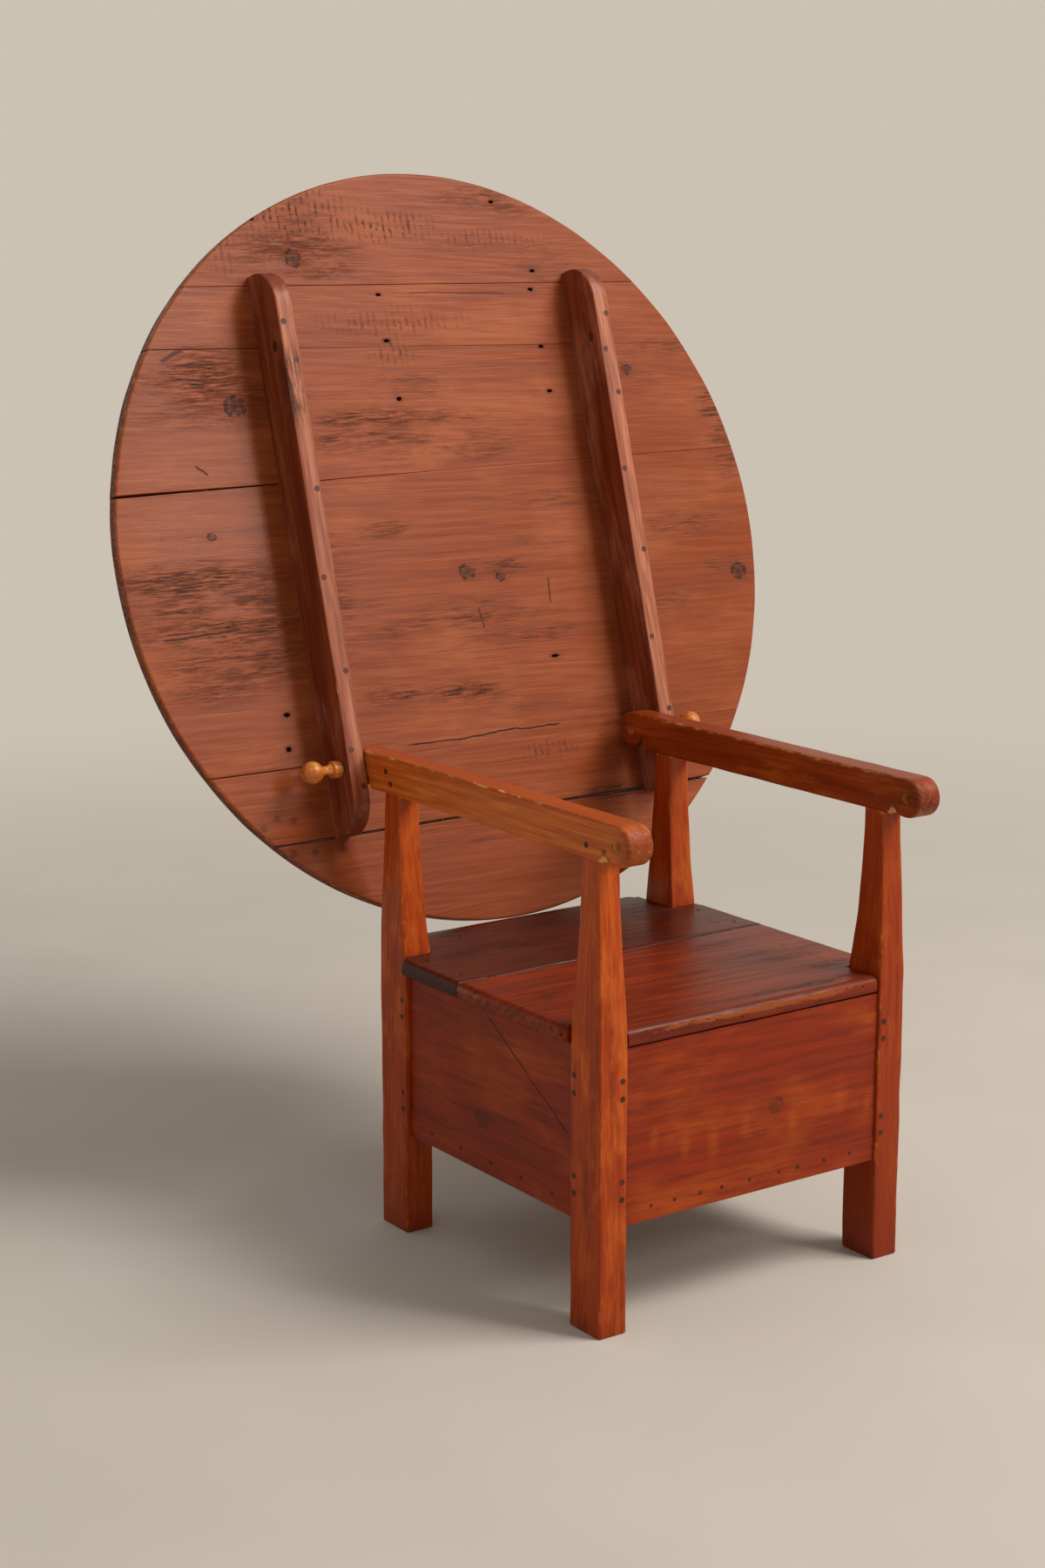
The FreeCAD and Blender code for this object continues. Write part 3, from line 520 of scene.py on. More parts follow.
def slab_mesh(columns, low, high, rows, face, back, wall_steps=2, back_edges=None):
    """Points and faces of a closed board, which runs column by column from low to high.

    Its back may have other edges than its face.
    """
    along = np.repeat(columns[:, None], len(rows), 1)
    count_a, count_b = along.shape
    size = count_a * count_b
    grids = []
    for side, (first, last) in ((face, (low, high)), (back, back_edges or (low, high))):
        across = first[:, None] + rows[None, :] * (last - first)[:, None]
        grids.append(np.stack([along, across, side(along, across)], -1).reshape(-1, 3))
    index = np.arange(size).reshape(count_a, count_b)
    quads = np.stack([index[:-1, :-1], index[1:, :-1], index[1:, 1:], index[:-1, 1:]], -1).reshape(-1, 4)
    ring = np.concatenate([index[:, 0], index[-1, 1:], index[-2::-1, -1], index[0, -2:0:-1]])
    points = [grids[0], grids[1]]
    loops = [ring]
    for step in range(1, wall_steps):
        share = step / wall_steps
        loops.append(np.arange(len(ring)) + sum(len(p) for p in points))
        points.append(grids[0][ring] * (1 - share) + grids[1][ring] * share)
    loops.append(ring + size)
    faces = [quads, quads[:, ::-1] + size]
    for upper, lower in zip(loops[:-1], loops[1:]):
        faces.append(np.stack([upper, lower, np.roll(lower, -1), np.roll(upper, -1)], -1))
    return np.concatenate(points), np.concatenate(faces)


print("an edge of 4 mm falls", np.round(eased(np.array([0, 1, 4]) * mm, 4 * mm) / mm, 2), "mm")

# %% From points to a piece of the object
merge_distance = 0.02 * mm
flat_distance = 0.01 * mm


def place_axes(origin, along, across):
    """A matrix whose first axis runs along the grain and second across it."""
    along, across = Vector(along), Vector(across)
    through = along.cross(across)
    matrix = Matrix.Identity(4)
    for row in range(3):
        matrix[row] = along[row], across[row], through[row], origin[row]
    return matrix


def make_piece(name, points, faces, matrix):
    """A closed piece in place, with doubled points merged and faces turned outward; not yet on the frame."""
    form = bmesh.new()
    made = [form.verts.new(p) for p in points]
    for face in faces:
        form.faces.new([made[number] for number in dict.fromkeys(face)])
    bmesh.ops.remove_doubles(form, verts=form.verts, dist=merge_distance)
    bmesh.ops.dissolve_degenerate(form, edges=form.edges, dist=flat_distance)
    bmesh.ops.recalc_face_normals(form, faces=form.faces)
    mesh = bpy.data.meshes.new(name)
    form.to_mesh(mesh)
    form.free()
    piece = bpy.data.objects.new(name, mesh)
    piece.matrix_world = matrix
    bpy.context.scene.collection.objects.link(piece)
    return piece


def close_slivers(mesh):
    """Fill the thin gaps that a cut can leave beside a step, so the mesh stays closed."""
    form = bmesh.new()
    form.from_mesh(mesh)
    rim = [edge for edge in form.edges if edge.is_boundary]
    if rim:
        bmesh.ops.holes_fill(form, edges=rim, sides=4)
        bmesh.ops.recalc_face_normals(form, faces=form.faces)
        form.to_mesh(mesh)
    form.free()


def drill(piece, cutters):
    """Cut some tools out of a piece, and throw the tools away."""
    for cutter in cutters:
        cut = piece.modifiers.new("cut", "BOOLEAN")
        cut.object = cutter
        cut.operation = "DIFFERENCE"
        cut.solver = "EXACT"
        bpy.context.view_layer.update()
        shown = piece.evaluated_get(bpy.context.evaluated_depsgraph_get())
        after = bpy.data.meshes.new_from_object(shown)
        close_slivers(after)
        piece.modifiers.clear()
        piece.data = after
        bpy.data.objects.remove(cutter)


print("points closer than", merge_distance, "m are merged")

# %% Paint, finish and the frame
def paint(piece, **numbers):
    """Store named numbers, one per point of a piece's mesh."""
    for name, values in numbers.items():
        layer = piece.data.attributes.new(name, "FLOAT", "POINT")
        layer.data.foreach_set("value", np.asarray(values, np.float32))


def fading(distance, reach):
    """1 at an edge, and less with the distance from it; the reach is in millimetres."""
    return np.exp(-np.maximum(distance, 0) / (reach * mm))


def points_of(piece):
    """The points of a piece's mesh in its own axes."""
    flat = np.zeros(len(piece.data.vertices) * 3)
    piece.data.vertices.foreach_get("co", flat)
    return flat.reshape(-1, 3)


def dress(piece, finish, body, nodes, crease=34):
    """Smooth a piece, give it its finish and join it to the frame."""
    piece.data.shade_smooth()
    piece.data.set_sharp_from_angle(angle=math.radians(crease))
    piece.data.materials.clear()
    piece.data.materials.append(finish)
    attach(piece, body)
    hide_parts(*nodes)
    print(piece.name, "points", len(piece.data.vertices), "faces", len(piece.data.polygons))


print("lengths below are metres, written as millimetres times", mm)

# %% [markdown]
# The round top is six boards side by side. Their seams are not quite parallel, and two of
# them have opened as the wood shrank. The pieces are laid out in the top's own axes: along
# the boards, up the leaning back, and out of the side that faces the sitter. Each board's
# outline is a strip of the circle, so its columns end at a seam or at the rim.

# %% The top's own axes
tilt = next(joint for joint in frame["joints"] if joint["name"] == "top_tilt")
pivot = Vector(tilt["pos_m"])
lean = math.radians(tilt["range_deg"][1] - 90)
up_top = Vector((0, math.sin(lean), math.cos(lean)))
out_top = Vector((0, -math.cos(lean), math.sin(lean)))
top_offset = 323.593 * mm
pivot_depth = 48.0 * mm
top_middle = pivot + up_top * top_offset - out_top * pivot_depth
top_axes = place_axes(top_middle, (1, 0, 0), up_top)
top_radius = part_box("top_board_4")[1].x
top_thickness = 22.5 * mm
print("top radius", round(top_radius, 4), "middle", [round(c, 4) for c in top_middle])

# %% Seams between the boards
seam_shares = (0.700, 0.533, 0.199, -0.533, -0.716)
slant_shares = (-0.004, -0.015, 0.016, 0.0, 0.010)
seam_gaps = ((1.0, 1.0), (1.0, 1.0), (4.0, 1.0), (1.0, 1.0), (2.4, 4.0))
table_face_gap = 0.06
# For each seam, places along it in millimetres and how open it stands there
seam_open = [((-585, 0.6), (585, 0.5)),
             ((-585, 0.8), (-330, 0.6), (-240, 0.3), (585, 0.35)),
             ((-585, 1.0), (-350, 0.6), (-240, 0.35), (-50, 0.25), (60, 0.12), (585, 0.4)),
             ((-585, 1.0), (-330, 0.8), (-240, 0.1), (240, 0.1), (585, 0.5)),
             ((-585, 1.0), (585, 1.0))]


def seam_share(number, x):
    """How open a seam stands along its run: 1 is as wide as in the frame, and 0 is shut."""
    places, shares = zip(*seam_open[number])
    return np.interp(x, np.array(places) * mm, shares)


def seam_line(number, x, on_face=False):
    """Where the middle of a seam lies, and half its gap, which is almost shut on the table face."""
    share = (x + top_radius) / (2 * top_radius)
    first, last = seam_gaps[number]
    gap = (first + (last - first) * share) * seam_share(number, x) * (not on_face)
    middle = seam_shares[number] * top_radius + slant_shares[number] * x
    return middle, np.maximum(gap, table_face_gap) * mm / 2


def board_edges(number, x, on_face=False):
    """The lower and upper edges of a board of the top, cut off by the circle."""
    reach = np.sqrt(np.maximum(top_radius ** 2 - x ** 2, 0))
    low, high = -reach, reach
    if number <= len(seam_shares):
        middle, half = seam_line(number - 1, x, on_face)
        low = np.maximum(low, middle + half)
    if number > 1:
        middle, half = seam_line(number - 2, x, on_face)
        high = np.minimum(high, middle - half)
    return low, np.maximum(high, low + 0.1 * mm)


print("seams", len(seam_shares))

# %% [markdown]
# The side of the top that faces the sitter was never finished as finely as the table side.
# It shows rows of saw ticks, dark torn patches, knots and old nail holes. Their places are
# listed in millimetres from the middle of the top. Patches and saw rows are painted
# as soft ovals, each with its place, size and strength, and the nail holes are cut as pits.

# %% Marks on the boards
smudges = [
    (-408, 275, 70, 42, 1.0), (-385, 245, 90, 22, 0.8), (-470, 262, 60, 20, 0.7), (-400, 215, 120, 16, 0.6),
    (-470, -25, 130, 26, 1.0), (-440, -62, 125, 22, 0.9), (-430, -100, 130, 24, 1.0),
    (-420, -150, 120, 26, 0.8), (-455, -185, 80, 22, 0.7), (-250, -60, 40, 80, 0.5),
    (-150, 205, 110, 14, 0.9), (-30, 200, 110, 12, 0.8), (-150, 172, 90, 16, 0.9),
    (10, 160, 110, 18, 0.7), (60, 140, 70, 14, 0.6),
    (-205, 462, 95, 34, 0.9), (-170, 440, 60, 22, 0.8), (545, 190, 40, 46, 0.9), (552, 120, 30, 40, 0.7),
    (470, 3, 80, 20, 0.4), (520, -82, 55, 26, 0.7), (375, -120, 60, 22, 0.6), (-30, -230, 70, 16, 0.9),
    (-150, -222, 60, 12, 0.8), (130, 545, 75, 18, 0.7), (200, 528, 50, 14, 0.6), (-215, 500, 90, 40, 0.5),
    (60, -40, 60, 14, 0.9), (-130, 30, 60, 12, 0.6), (30, -110, 110, 26, 0.5), (240, -414, 90, 10, 1.0),
    (110, -150, 120, 14, 0.5), (-100, -120, 140, 12, 0.5), (440, 300, 90, 14, 0.5), (150, 470, 120, 10, 0.4),
    (-40, 250, 90, 26, 0.4), (200, 60, 150, 16, 0.4),
]
board_shade = {1: 0.12, 6: 0.28}
polish_patches = [(-460, 330, 110, 90, 1.0), (-440, 90, 120, 150, 1.0), (-350, 40, 90, 110, 0.8),
                  (-480, 200, 70, 60, 0.9)]
saw_rows = [
    (-205, 515, 95, 42, 1.0), (-240, 480, 60, 26, 0.9), (-48, 500, 85, 22, 0.9), (140, 478, 110, 14, 0.6),
    (-60, 350, 130, 20, 0.55), (-70, 304, 36, 18, 0.8), (105, -336, 55, 14, 0.7), (-330, 470, 30, 40, 0.5),
]
board_knots = {1: [(-220, 452, 12, 14)], 3: [(-359, 230, 16, 14), (376, 262, 10, 8)],
               4: [(4, -45, 14, 11), (542, -84, 15, 12), (66, -57, 8, 7), (-430, 40, 7, 5)]}
nail_holes = {1: [(219, 428, 5, 2.8), (-280, 514, 4, 4), (160, 540, 5, 2.6)],
              2: [(210, 398, 5, 2.8), (-78, 394, 5, 2.6), (-76, 322, 6, 3)],
              3: [(213, 305, 5, 2.8), (216, 233, 5, 3), (-70, 231, 5, 3.4)],
              4: [(-352, -232, 6, 3.4), (-358, -283, 5, 4), (145, -190, 8, 2.6)]}
filled_holes = {5: [(-420, -394, 6, 6), (-396, -382, 6, 5), (-368, -388, 5, 5)],
                6: [(-377, -437, 6, 6), (-341, -439, 6, 6), (-292, -441, 6, 6)]}
board_lines = {2: [((-30, 396), (170, 392), 1.6, 0.6)],
               3: [((-440, 146), (-420, 130), 2.0, 0.9), ((-470, 300), (-430, 316), 5.0, 0.8)],
               4: [((-162, -302), (145, -296), 1.8, 1.0), ((155, -62), (152, -104), 2.0, 0.8),
                   ((14, -100), (20, -136), 2.6, 0.7), ((-540, -105), (-400, -98), 2.4, 0.9),
                   ((-230, 120), (-60, 124), 1.2, 0.5)]}
print("smudges", len(smudges), "saw rows", len(saw_rows))

# %% Tools for marks and holes
hole_rings = ((1.5, 1.25), (0.0, 1.0), (-2.5, 0.72), (-7.0, 0.4))


def ovals(along, across, marks):
    """Soft ovals painted over points, in metres; each is place, size and strength."""
    most = np.zeros(len(along))
    for x, v, length, breadth, strength in marks:
        far = np.hypot((along - x * mm) / (length * mm), (across - v * mm) / (breadth * mm))
        most = np.maximum(most, strength * np.clip(1.5 - far, 0, 1))
    return most


def in_metres(marks):
    """Marks given in millimetres, as metres."""
    return [tuple(value * mm for value in mark) for mark in marks]


def lines_in_metres(lines):
    """Line marks given in millimetres, as metres; their strength stays."""
    return [((a[0] * mm, a[1] * mm), (b[0] * mm, b[1] * mm), width * mm, strength)
            for a, b, width, strength in lines]


def stack_faces(first, rings, sides):
    """Faces that join stacked rings of points and close both ends."""
    last = first + (rings - 1) * sides
    faces = [tuple(range(first, first + sides)), tuple(range(last, last + sides))]
    for low in range(first, last, sides):
        high = low + sides
        for step in range(sides):
            after = (step + 1) % sides
            faces.append((low + step, low + after, high + after, high + step))
    return faces


def circle(sides):
    """The angles of a ring's points."""
    return [2 * math.pi * step / sides for step in range(sides)]


def nail_hole_cutter(spots, sides=14):
    """One cutter for the torn nail holes of a board: an oval pit at each spot, narrower below."""
    points, faces = [], []
    for x, v, length, breadth in spots:
        faces += stack_faces(len(points), len(hole_rings), sides)
        for depth, share in hole_rings:
            for angle in circle(sides):
                cos, sin = math.cos(angle), math.sin(angle)
                torn = share * (1 + 0.25 * noise.noise((x + 3 * cos, v + 3 * sin, 0.5)))
                points.append(((x + length * torn * cos) * mm, (v + breadth * torn * sin) * mm, depth * mm))
    return make_piece("cutter", points, faces, top_axes)


print("a nail hole is", -hole_rings[-1][0], "mm deep")

# %% The six boards of the top
column_step, row_step = 5.2 * mm, 7 * mm
under_round, upper_round, seam_round = 3.6 * mm, 5.6 * mm, 1.3 * mm


def make_board(number):
    """One board of the top with a worn rim and eased seams."""
    samples = np.linspace(-top_radius, top_radius, 4001)
    low, high = board_edges(number, samples)
    inside = samples[high - low > 0.2 * mm]
    middle, half = (inside[0] + inside[-1]) / 2, (inside[-1] - inside[0]) / 2
    columns = middle + half * np.sin(np.linspace(-math.pi / 2, math.pi / 2, int(half * 2 / column_step)))
    low, high = board_edges(number, columns)
    tall = float((high - low).max())
    rows = graded(0, tall, row_step) / tall

    def distances(along, across, on_face=False):
        rim = top_radius - np.hypot(along, across)
        seam, share = np.full(along.shape, 1.0), np.ones(along.shape)
        for below, sign in ((number - 1, 1), (number - 2, -1)):
            if 0 <= below < len(seam_shares):
                line, gap = seam_line(below, along, on_face)
                away = sign * (across - line) - gap
                share = np.where(away < seam, 1.0 if on_face else seam_share(below, along), share)
                seam = np.minimum(seam, away)
        return np.maximum(rim, 0), np.maximum(seam, 0), share

    def fall(along, across, rim_round, on_face=False):
        rim, seam, share = distances(along, across, on_face)
        worn = 1 + 0.45 * ripple(along, across, number * 3.1, 0.055)
        drop = np.maximum(eased(rim, rim_round * worn), eased(seam, seam_round * worn * share))
        return drop, np.clip(np.minimum(rim, seam) / (18 * mm), 0, 1)

    def under(along, across):
        drop, inland = fall(along, across, under_round)
        waves = 0.35 * ripple(along, across * 2.2, number + 0.4, 0.16)
        waves = waves + 0.12 * ripple(along, across * 3, number + 7.7, 0.05)
        return -drop + inland * waves * mm

    def upper(along, across):
        drop, inland = fall(along, across, upper_round, True)
        waves = 0.25 * ripple(along, across * 2, number + 20.4, 0.20)
        return -top_thickness + drop + inland * waves * mm

    points, faces = slab_mesh(columns, low, high, rows, under, upper, 3, board_edges(number, columns, True))
    piece = make_piece("old_top_board_%d" % number, points, faces, top_axes)
    if number in nail_holes:
        drill(piece, [nail_hole_cutter(nail_holes[number])])

    along, across, height = points_of(piece).T
    rim, seam, share = distances(along, across)
    front = (height > -top_thickness / 2) * 1.0
    wall = ((height < -3 * mm) & (height > -top_thickness + 4 * mm)) * 1.0
    dirt = np.maximum(ovals(along, across, smudges) * front, 0.4 * share * fading(seam, 5))
    # Painted shade: the front face grows darker towards the right of the top, and boards 1 and 6 are darker
    # by board_shade
    shade = np.maximum(0.24 * np.clip((along - 150 * mm) / (250 * mm), 0, 1), board_shade.get(number, 0))
    paint(piece, wear=fading(rim, 3) * 0.6 * (height > -5 * mm),
          smudge=np.maximum(dirt, wall),
          deep=np.maximum(wall * 0.8, shade * front),
          saw=ovals(along, across, saw_rows) * front,
          polish=ovals(along, across, polish_patches) * front,
          front=front)
    holes = nail_holes.get(number, filled_holes.get(number, []))
    finish = old_wood("top_board_%d_stain" % number, top_tones, (number * 1.37, number * 0.61, 0.2),
                      ticks=True, smears=0.36, streak_size=105, streak_low=0.24, ring=40, ring_depth=0.16,
                      grime_depth=1.0, gloss=(0.24, 0.64), shine=0.16, holes=in_metres(holes),
                      hole_depth=0.9 if number in nail_holes else 0.4,
                      knots=in_metres(board_knots.get(number, [])),
                      lines=lines_in_metres(board_lines.get(number, [])))
    dress(piece, finish, "top", ["top_board_%d" % number])


for number in range(1, len(seam_shares) + 2):
    make_board(number)

# %% [markdown]
# Two battens cross the boards and hold them flat. They stand on edge, and their free corners
# are rounded so that they pass the sitter's elbows. The pivot pins go through their lower
# ends. A batten is a board too, seen from its side: its columns run up the back and end on
# the arc of the corner. The holes are cut with the Boolean modifier by a turned cutter that
# widens a little at each mouth, as a worn hole does.

# %% A turned cutter for worn holes
bore_radius = 8.0 * mm
bore_over, bore_mouth = 5 * mm, 1.6 * mm


def turned(profile, sides=48):
    """Points and faces of a closed lathe shape about the first axis; profile is (along, radius)."""
    points = [(along, radius * math.cos(angle), radius * math.sin(angle))
              for along, radius in profile for angle in circle(sides)]
    return points, stack_faces(0, len(profile), sides)


def hole_cutter(x0, x1, centre):
    """A cutter along X for a hole between two faces, with a worn mouth at each."""
    steps = ((-bore_over, 1.0), (0, 1.0), (bore_mouth * 0.5, 0.35), (bore_mouth * 1.4, 0))
    profile = [(x0 + step, bore_radius + bore_mouth * share) for step, share in steps]
    profile += [(x1 - step, bore_radius + bore_mouth * share) for step, share in reversed(steps)]
    return make_piece("cutter", *turned(profile), Matrix.Translation(centre))


print("hole radius", bore_radius)

# %% The two battens
batten_boxes = {side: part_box("batten_" + side) for side in ("left", "right")}
batten_depth = 73.5 * mm
batten_length = 848.0 * mm
batten_tail = 100.4 * mm
corner_radius = 58.0 * mm
batten_low = -top_offset - batten_tail
batten_high = batten_low + batten_length
lock_run = 631.0 * mm
batten_round = 2.6 * mm
batten_fine = (0.0004, 0.0009, 0.0016, 0.0025, 0.0036, 0.006)
bruise_place, bruise_half, bruise_width = 245 * mm, 55 * mm, 22 * mm
foot_dirt_reach = 250 * mm


def corner_run(up):
    """How far a place along a batten is into one of its round corners."""
    return np.maximum(np.maximum(batten_low + corner_radius - up, up - batten_high + corner_radius), 0)


def batten_outline(up):
    """The height of a batten's free edge above the boards, along its length."""
    arc = np.sqrt(np.maximum(corner_radius ** 2 - corner_run(up) ** 2, 0))
    return batten_depth - corner_radius + arc


def batten_inset(up, out):
    """How far a point of a batten's side is from its free edge."""
    above = np.maximum(out - (batten_depth - corner_radius), 0)
    return np.minimum(corner_radius - np.hypot(corner_run(up), above), 1.0)


def make_batten(side):
    """One batten with worn arrises and its two holes."""
    low, high = batten_boxes[side]
    turn = np.sin(np.linspace(0, math.pi / 2, 16))
    straight = np.linspace(batten_low + corner_radius, batten_high - corner_radius, 110)[1:-1]
    columns = np.concatenate([batten_low + corner_radius * (1 - turn[::-1]), straight,
                              batten_high - corner_radius * (1 - turn)])
    heel = np.full(len(columns), -0.8 * mm)
    rows = graded(0, batten_depth, 6 * mm, batten_fine) / batten_depth
    seed = 3.0 if side == "left" else 11.0

    def fall(up, out):
        worn = 1 + 0.5 * ripple(up, out, seed, 0.045)
        waves = 0.25 * mm * ripple(up, out, seed + 5, 0.12)
        return eased(np.maximum(batten_inset(up, out), 0), batten_round * worn) - waves

    points, faces = slab_mesh(columns, heel, batten_outline(columns), rows,
                              lambda u, o: high.x - fall(u, o), lambda u, o: low.x + fall(u, o), 6)
    piece = make_piece("old_batten_" + side, points, faces, place_axes(top_middle, up_top, out_top))
    holes = [pivot, pivot + up_top * lock_run]
    drill(piece, [hole_cutter(low.x, high.x, Vector((0, place.y, place.z))) for place in holes])

    up, out, x = points_of(piece).T
    inset = np.maximum(batten_inset(up, out), 0)
    flank = np.maximum(np.minimum(x - low.x, high.x - x), 0)
    bow = corner_run(up) / corner_radius
    # edge_face is the batten's narrow free face. A painted highlight, its sheen, lies on the flat part and
    # fades up the round corner, and painted shade grows towards the corner's end.
    edge_face = (inset < 1.5 * mm) & (out > 12 * mm)
    bruise = np.exp(-((up - bruise_place) / bruise_half) ** 4) * fading(inset, 14)
    bruise = bruise * (x < low.x + bruise_width) * (1.2 if side == "right" else 0.24)
    low_end = np.clip((batten_low + foot_dirt_reach - up) / foot_dirt_reach, 0, 1) * 0.35
    paint(piece, wear=fading(np.hypot(inset, flank), 2.4) * 0.72,
          rub=edge_face * np.where(bow > 0.02, np.clip(0.55 - bow, 0, 1), 0.75),
          deep=edge_face * np.clip(bow * 1.5 - 0.5, 0, 1),
          smudge=np.maximum(bruise, low_end))
    finish = old_wood("batten_%s_stain" % side, batten_tones, (seed, 0.3, seed * 0.7), ring=34, smears=0.30,
                      streak_size=60, gloss=(0.34, 0.54), shine=0.25)
    dress(piece, finish, "top", ["batten_" + side])


for side in ("left", "right"):
    make_batten(side)

# %% [markdown]
# The legs are square below the seat and taper above it, mostly on their inner faces, with a
# quick flare just over the seat. A tapered post could be a cube with loops pulled in, but a
# loft is plainer: rings of the same number of points, one above the other, each a rectangle
# with round corners. The corner radius wanders with noise, which gives the handmade arris.

# %% A leg as rings
taper_start = 430.0 * mm
flare_height = 85.0 * mm
arm_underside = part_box("arm_left")[0].z
leg_width, leg_depth = 46.0 * mm, 68.0 * mm
top_width, top_depth = 35.0 * mm, 38.0 * mm
lean_x, lean_y = 4.0 * mm, 13.0 * mm
flare_share = 0.62
half_width = (foot_high.x - foot_low.x) / 2
half_depth = (foot_high.y - foot_low.y) / 2


def leg_section(z):
    """Inner and outer faces of a leg at some height, from the middle of the base."""
    rise = np.clip((z - taper_start) / (arm_underside - taper_start), 0, 1)
    knee = flare_height / (arm_underside - taper_start)
    curve = (flare_share - knee) / (knee * knee - knee)
    taper = curve * rise * rise + (1 - curve) * rise
    inner_x = half_width - leg_width + taper * (leg_width - lean_x - top_width)
    inner_y = half_depth - leg_depth + taper * (leg_depth - lean_y - top_depth)
    return inner_x, half_width - rise * lean_x, inner_y, half_depth - rise * lean_y


def ring_of(x0, x1, y0, y1, radii, side_points=6, corner_points=5):
    """Points round a rectangle whose corners have their own radii, and their nearness to a corner."""
    corners = ((x1 - radii[0], y0 + radii[0], -1, radii[0]), (x1 - radii[1], y1 - radii[1], 0, radii[1]),
               (x0 + radii[2], y1 - radii[2], 1, radii[2]), (x0 + radii[3], y0 + radii[3], 2, radii[3]))

    def on_corner(corner, share):
        x, y, turn, radius = corner
        angle = math.pi / 2 * (turn + share)
        return x + radius * math.cos(angle), y + radius * math.sin(angle)

    points, nearness = [], []
    for number, corner in enumerate(corners):
        points += [on_corner(corner, step / (corner_points - 1)) for step in range(corner_points)]
        nearness += [1.0] * corner_points
        start, stop = points[-1], on_corner(corners[(number + 1) % 4], 0)
        for step in range(1, side_points):
            share = step / side_points
            points.append((start[0] + (stop[0] - start[0]) * share, start[1] + (stop[1] - start[1]) * share))
            nearness.append(0.25 if step in (1, side_points - 1) else 0.0)
    return points, nearness


print("leg at the seat", [round(c, 4) for c in leg_section(taper_start)], "at the arm",
      [round(float(c), 4) for c in leg_section(arm_underside)])

# %% The four legs
leg_finish = old_wood("leg_darkening", leg_tones, (0.4, 0.1, 0.9), ring=55, ring_depth=0.16, streak_size=110,
                      streak_low=0.26, cloud_size=13, smears=0.5, gloss=(0.28, 0.54), wear=0.6)
# How much darker each whole leg is made: the two legs on the +X side are darker.
leg_darkening = {"front_leg_left": 0.5, "rear_leg_left": 0.34, "front_leg_right": 0.0, "rear_leg_right": 0.06}
foot_round = 2.4 * mm
foot_rings = (0, 0.0006, 0.0014, 0.0026)
into_arm = 1.5 * mm
dark_height = 360 * mm
pale_from, pale_run = 420 * mm, 180 * mm


def make_leg(name):
    """One leg, from its foot to just inside the arm."""
    sign_x = 1 if name.endswith("left") else -1
    sign_y = 1 if name.startswith("rear") else -1
    seed = 2.0 + sign_x * 0.7 + sign_y * 1.9
    heights = np.concatenate([foot_rings, np.linspace(5 * mm, arm_underside + into_arm, 92)])
    points, wear, foot, rub, deep = [], [], [], [], []
    for z in heights:
        x0, x1, y0, y1 = leg_section(z)
        tuck = float(eased(np.array(z), foot_round))
        radii = [max(1.4, 2.9 + 2.2 * noise.noise((seed + corner * 3.7, z / 0.05, 0.5))) * mm
                 for corner in range(4)]
        free = min(max((z - taper_start) / 0.03, 0), 1)
        sway = [(0.12 + 0.45 * free) * mm * noise.noise((seed + face * 5.1, z / 0.07, 2.5))
                for face in range(4)]
        ring, nearness = ring_of(x0 + tuck + sway[0], x1 - tuck + sway[1],
                                 y0 + tuck + sway[2], y1 - tuck + sway[3], radii)
        points += [(z, base_middle.x + sign_x * x, base_middle.y + sign_y * y) for x, y in ring]
        wear += [corner * 0.5 + 0.6 * (z > arm_underside) for corner in nearness]
        low_down = 0.45 * min(max((dark_height - z) / dark_height, 0), 1)
        foot += [0.8 * fading(z, 20)] * len(ring)
        rub += [0.35 * min(max((z - pale_from) / pale_run, 0), 1)] * len(ring)
        deep += [min(leg_darkening[name] + low_down, 1.0)] * len(ring)
    faces = stack_faces(0, len(heights), len(ring))
    piece = make_piece("old_" + name, points, faces, place_axes((0, 0, 0), (0, 0, 1), (1, 0, 0)))
    paint(piece, wear=wear, smudge=foot, rub=rub, deep=deep)
    dress(piece, leg_finish, "base", [name])


for name in leg_names:
    make_leg(name)

# %% [markdown]
# Each arm is a rail with round ends. An eye goes through each end: the rear one takes the
# pivot pin and the front one would take a locking pin when the top lies as a table. A small
# nick under each end sets off the round knuckle. The rail is made as a board seen from the
# side, and the eyes and nicks are cut from it. Hands have rubbed the upper edges to ochre.

# %% Eyes and nicks of an arm
arm_height = 56.0 * mm
knuckle = arm_height / 2
front_eye = pivot.y - lock_run
eye_height = pivot.z
nick_height, nick_mouth = 19.0 * mm, 9.0 * mm
nick_over = 6.0 * mm
on_wall = 0.1 * mm
arm_ends = ((front_eye, -1), (pivot.y, 1))


def past_eyes(y):
    """How far a place along an arm is past the nearer eye, towards the arm's end."""
    return np.maximum(np.maximum(front_eye - y, y - pivot.y), 0)


def arm_inset(y, z):
    """How far a point of an arm's side is from its outline."""
    return knuckle - np.hypot(past_eyes(y), z - eye_height)


def nick_cutter(eye, toward, x0, x1):
    """A wedge under an arm's end: one side is the knuckle's arc and the other is straight."""
    last = math.pi + math.acos(1 - nick_height / knuckle)
    outline = [(eye + toward * knuckle * math.sin(angle), eye_height + knuckle * math.cos(angle))
               for angle in np.linspace(math.pi, last, 18)]
    mouth_y = outline[-1][0] - toward * nick_mouth
    below = arm_underside - nick_over
    outline += [(mouth_y, arm_underside), (mouth_y, below), (eye, below)]
    points = [(x, y, z) for x in (x0 - nick_over, x1 + nick_over) for y, z in outline]
    return make_piece("cutter", points, stack_faces(0, 2, len(outline)), Matrix.Identity(4))


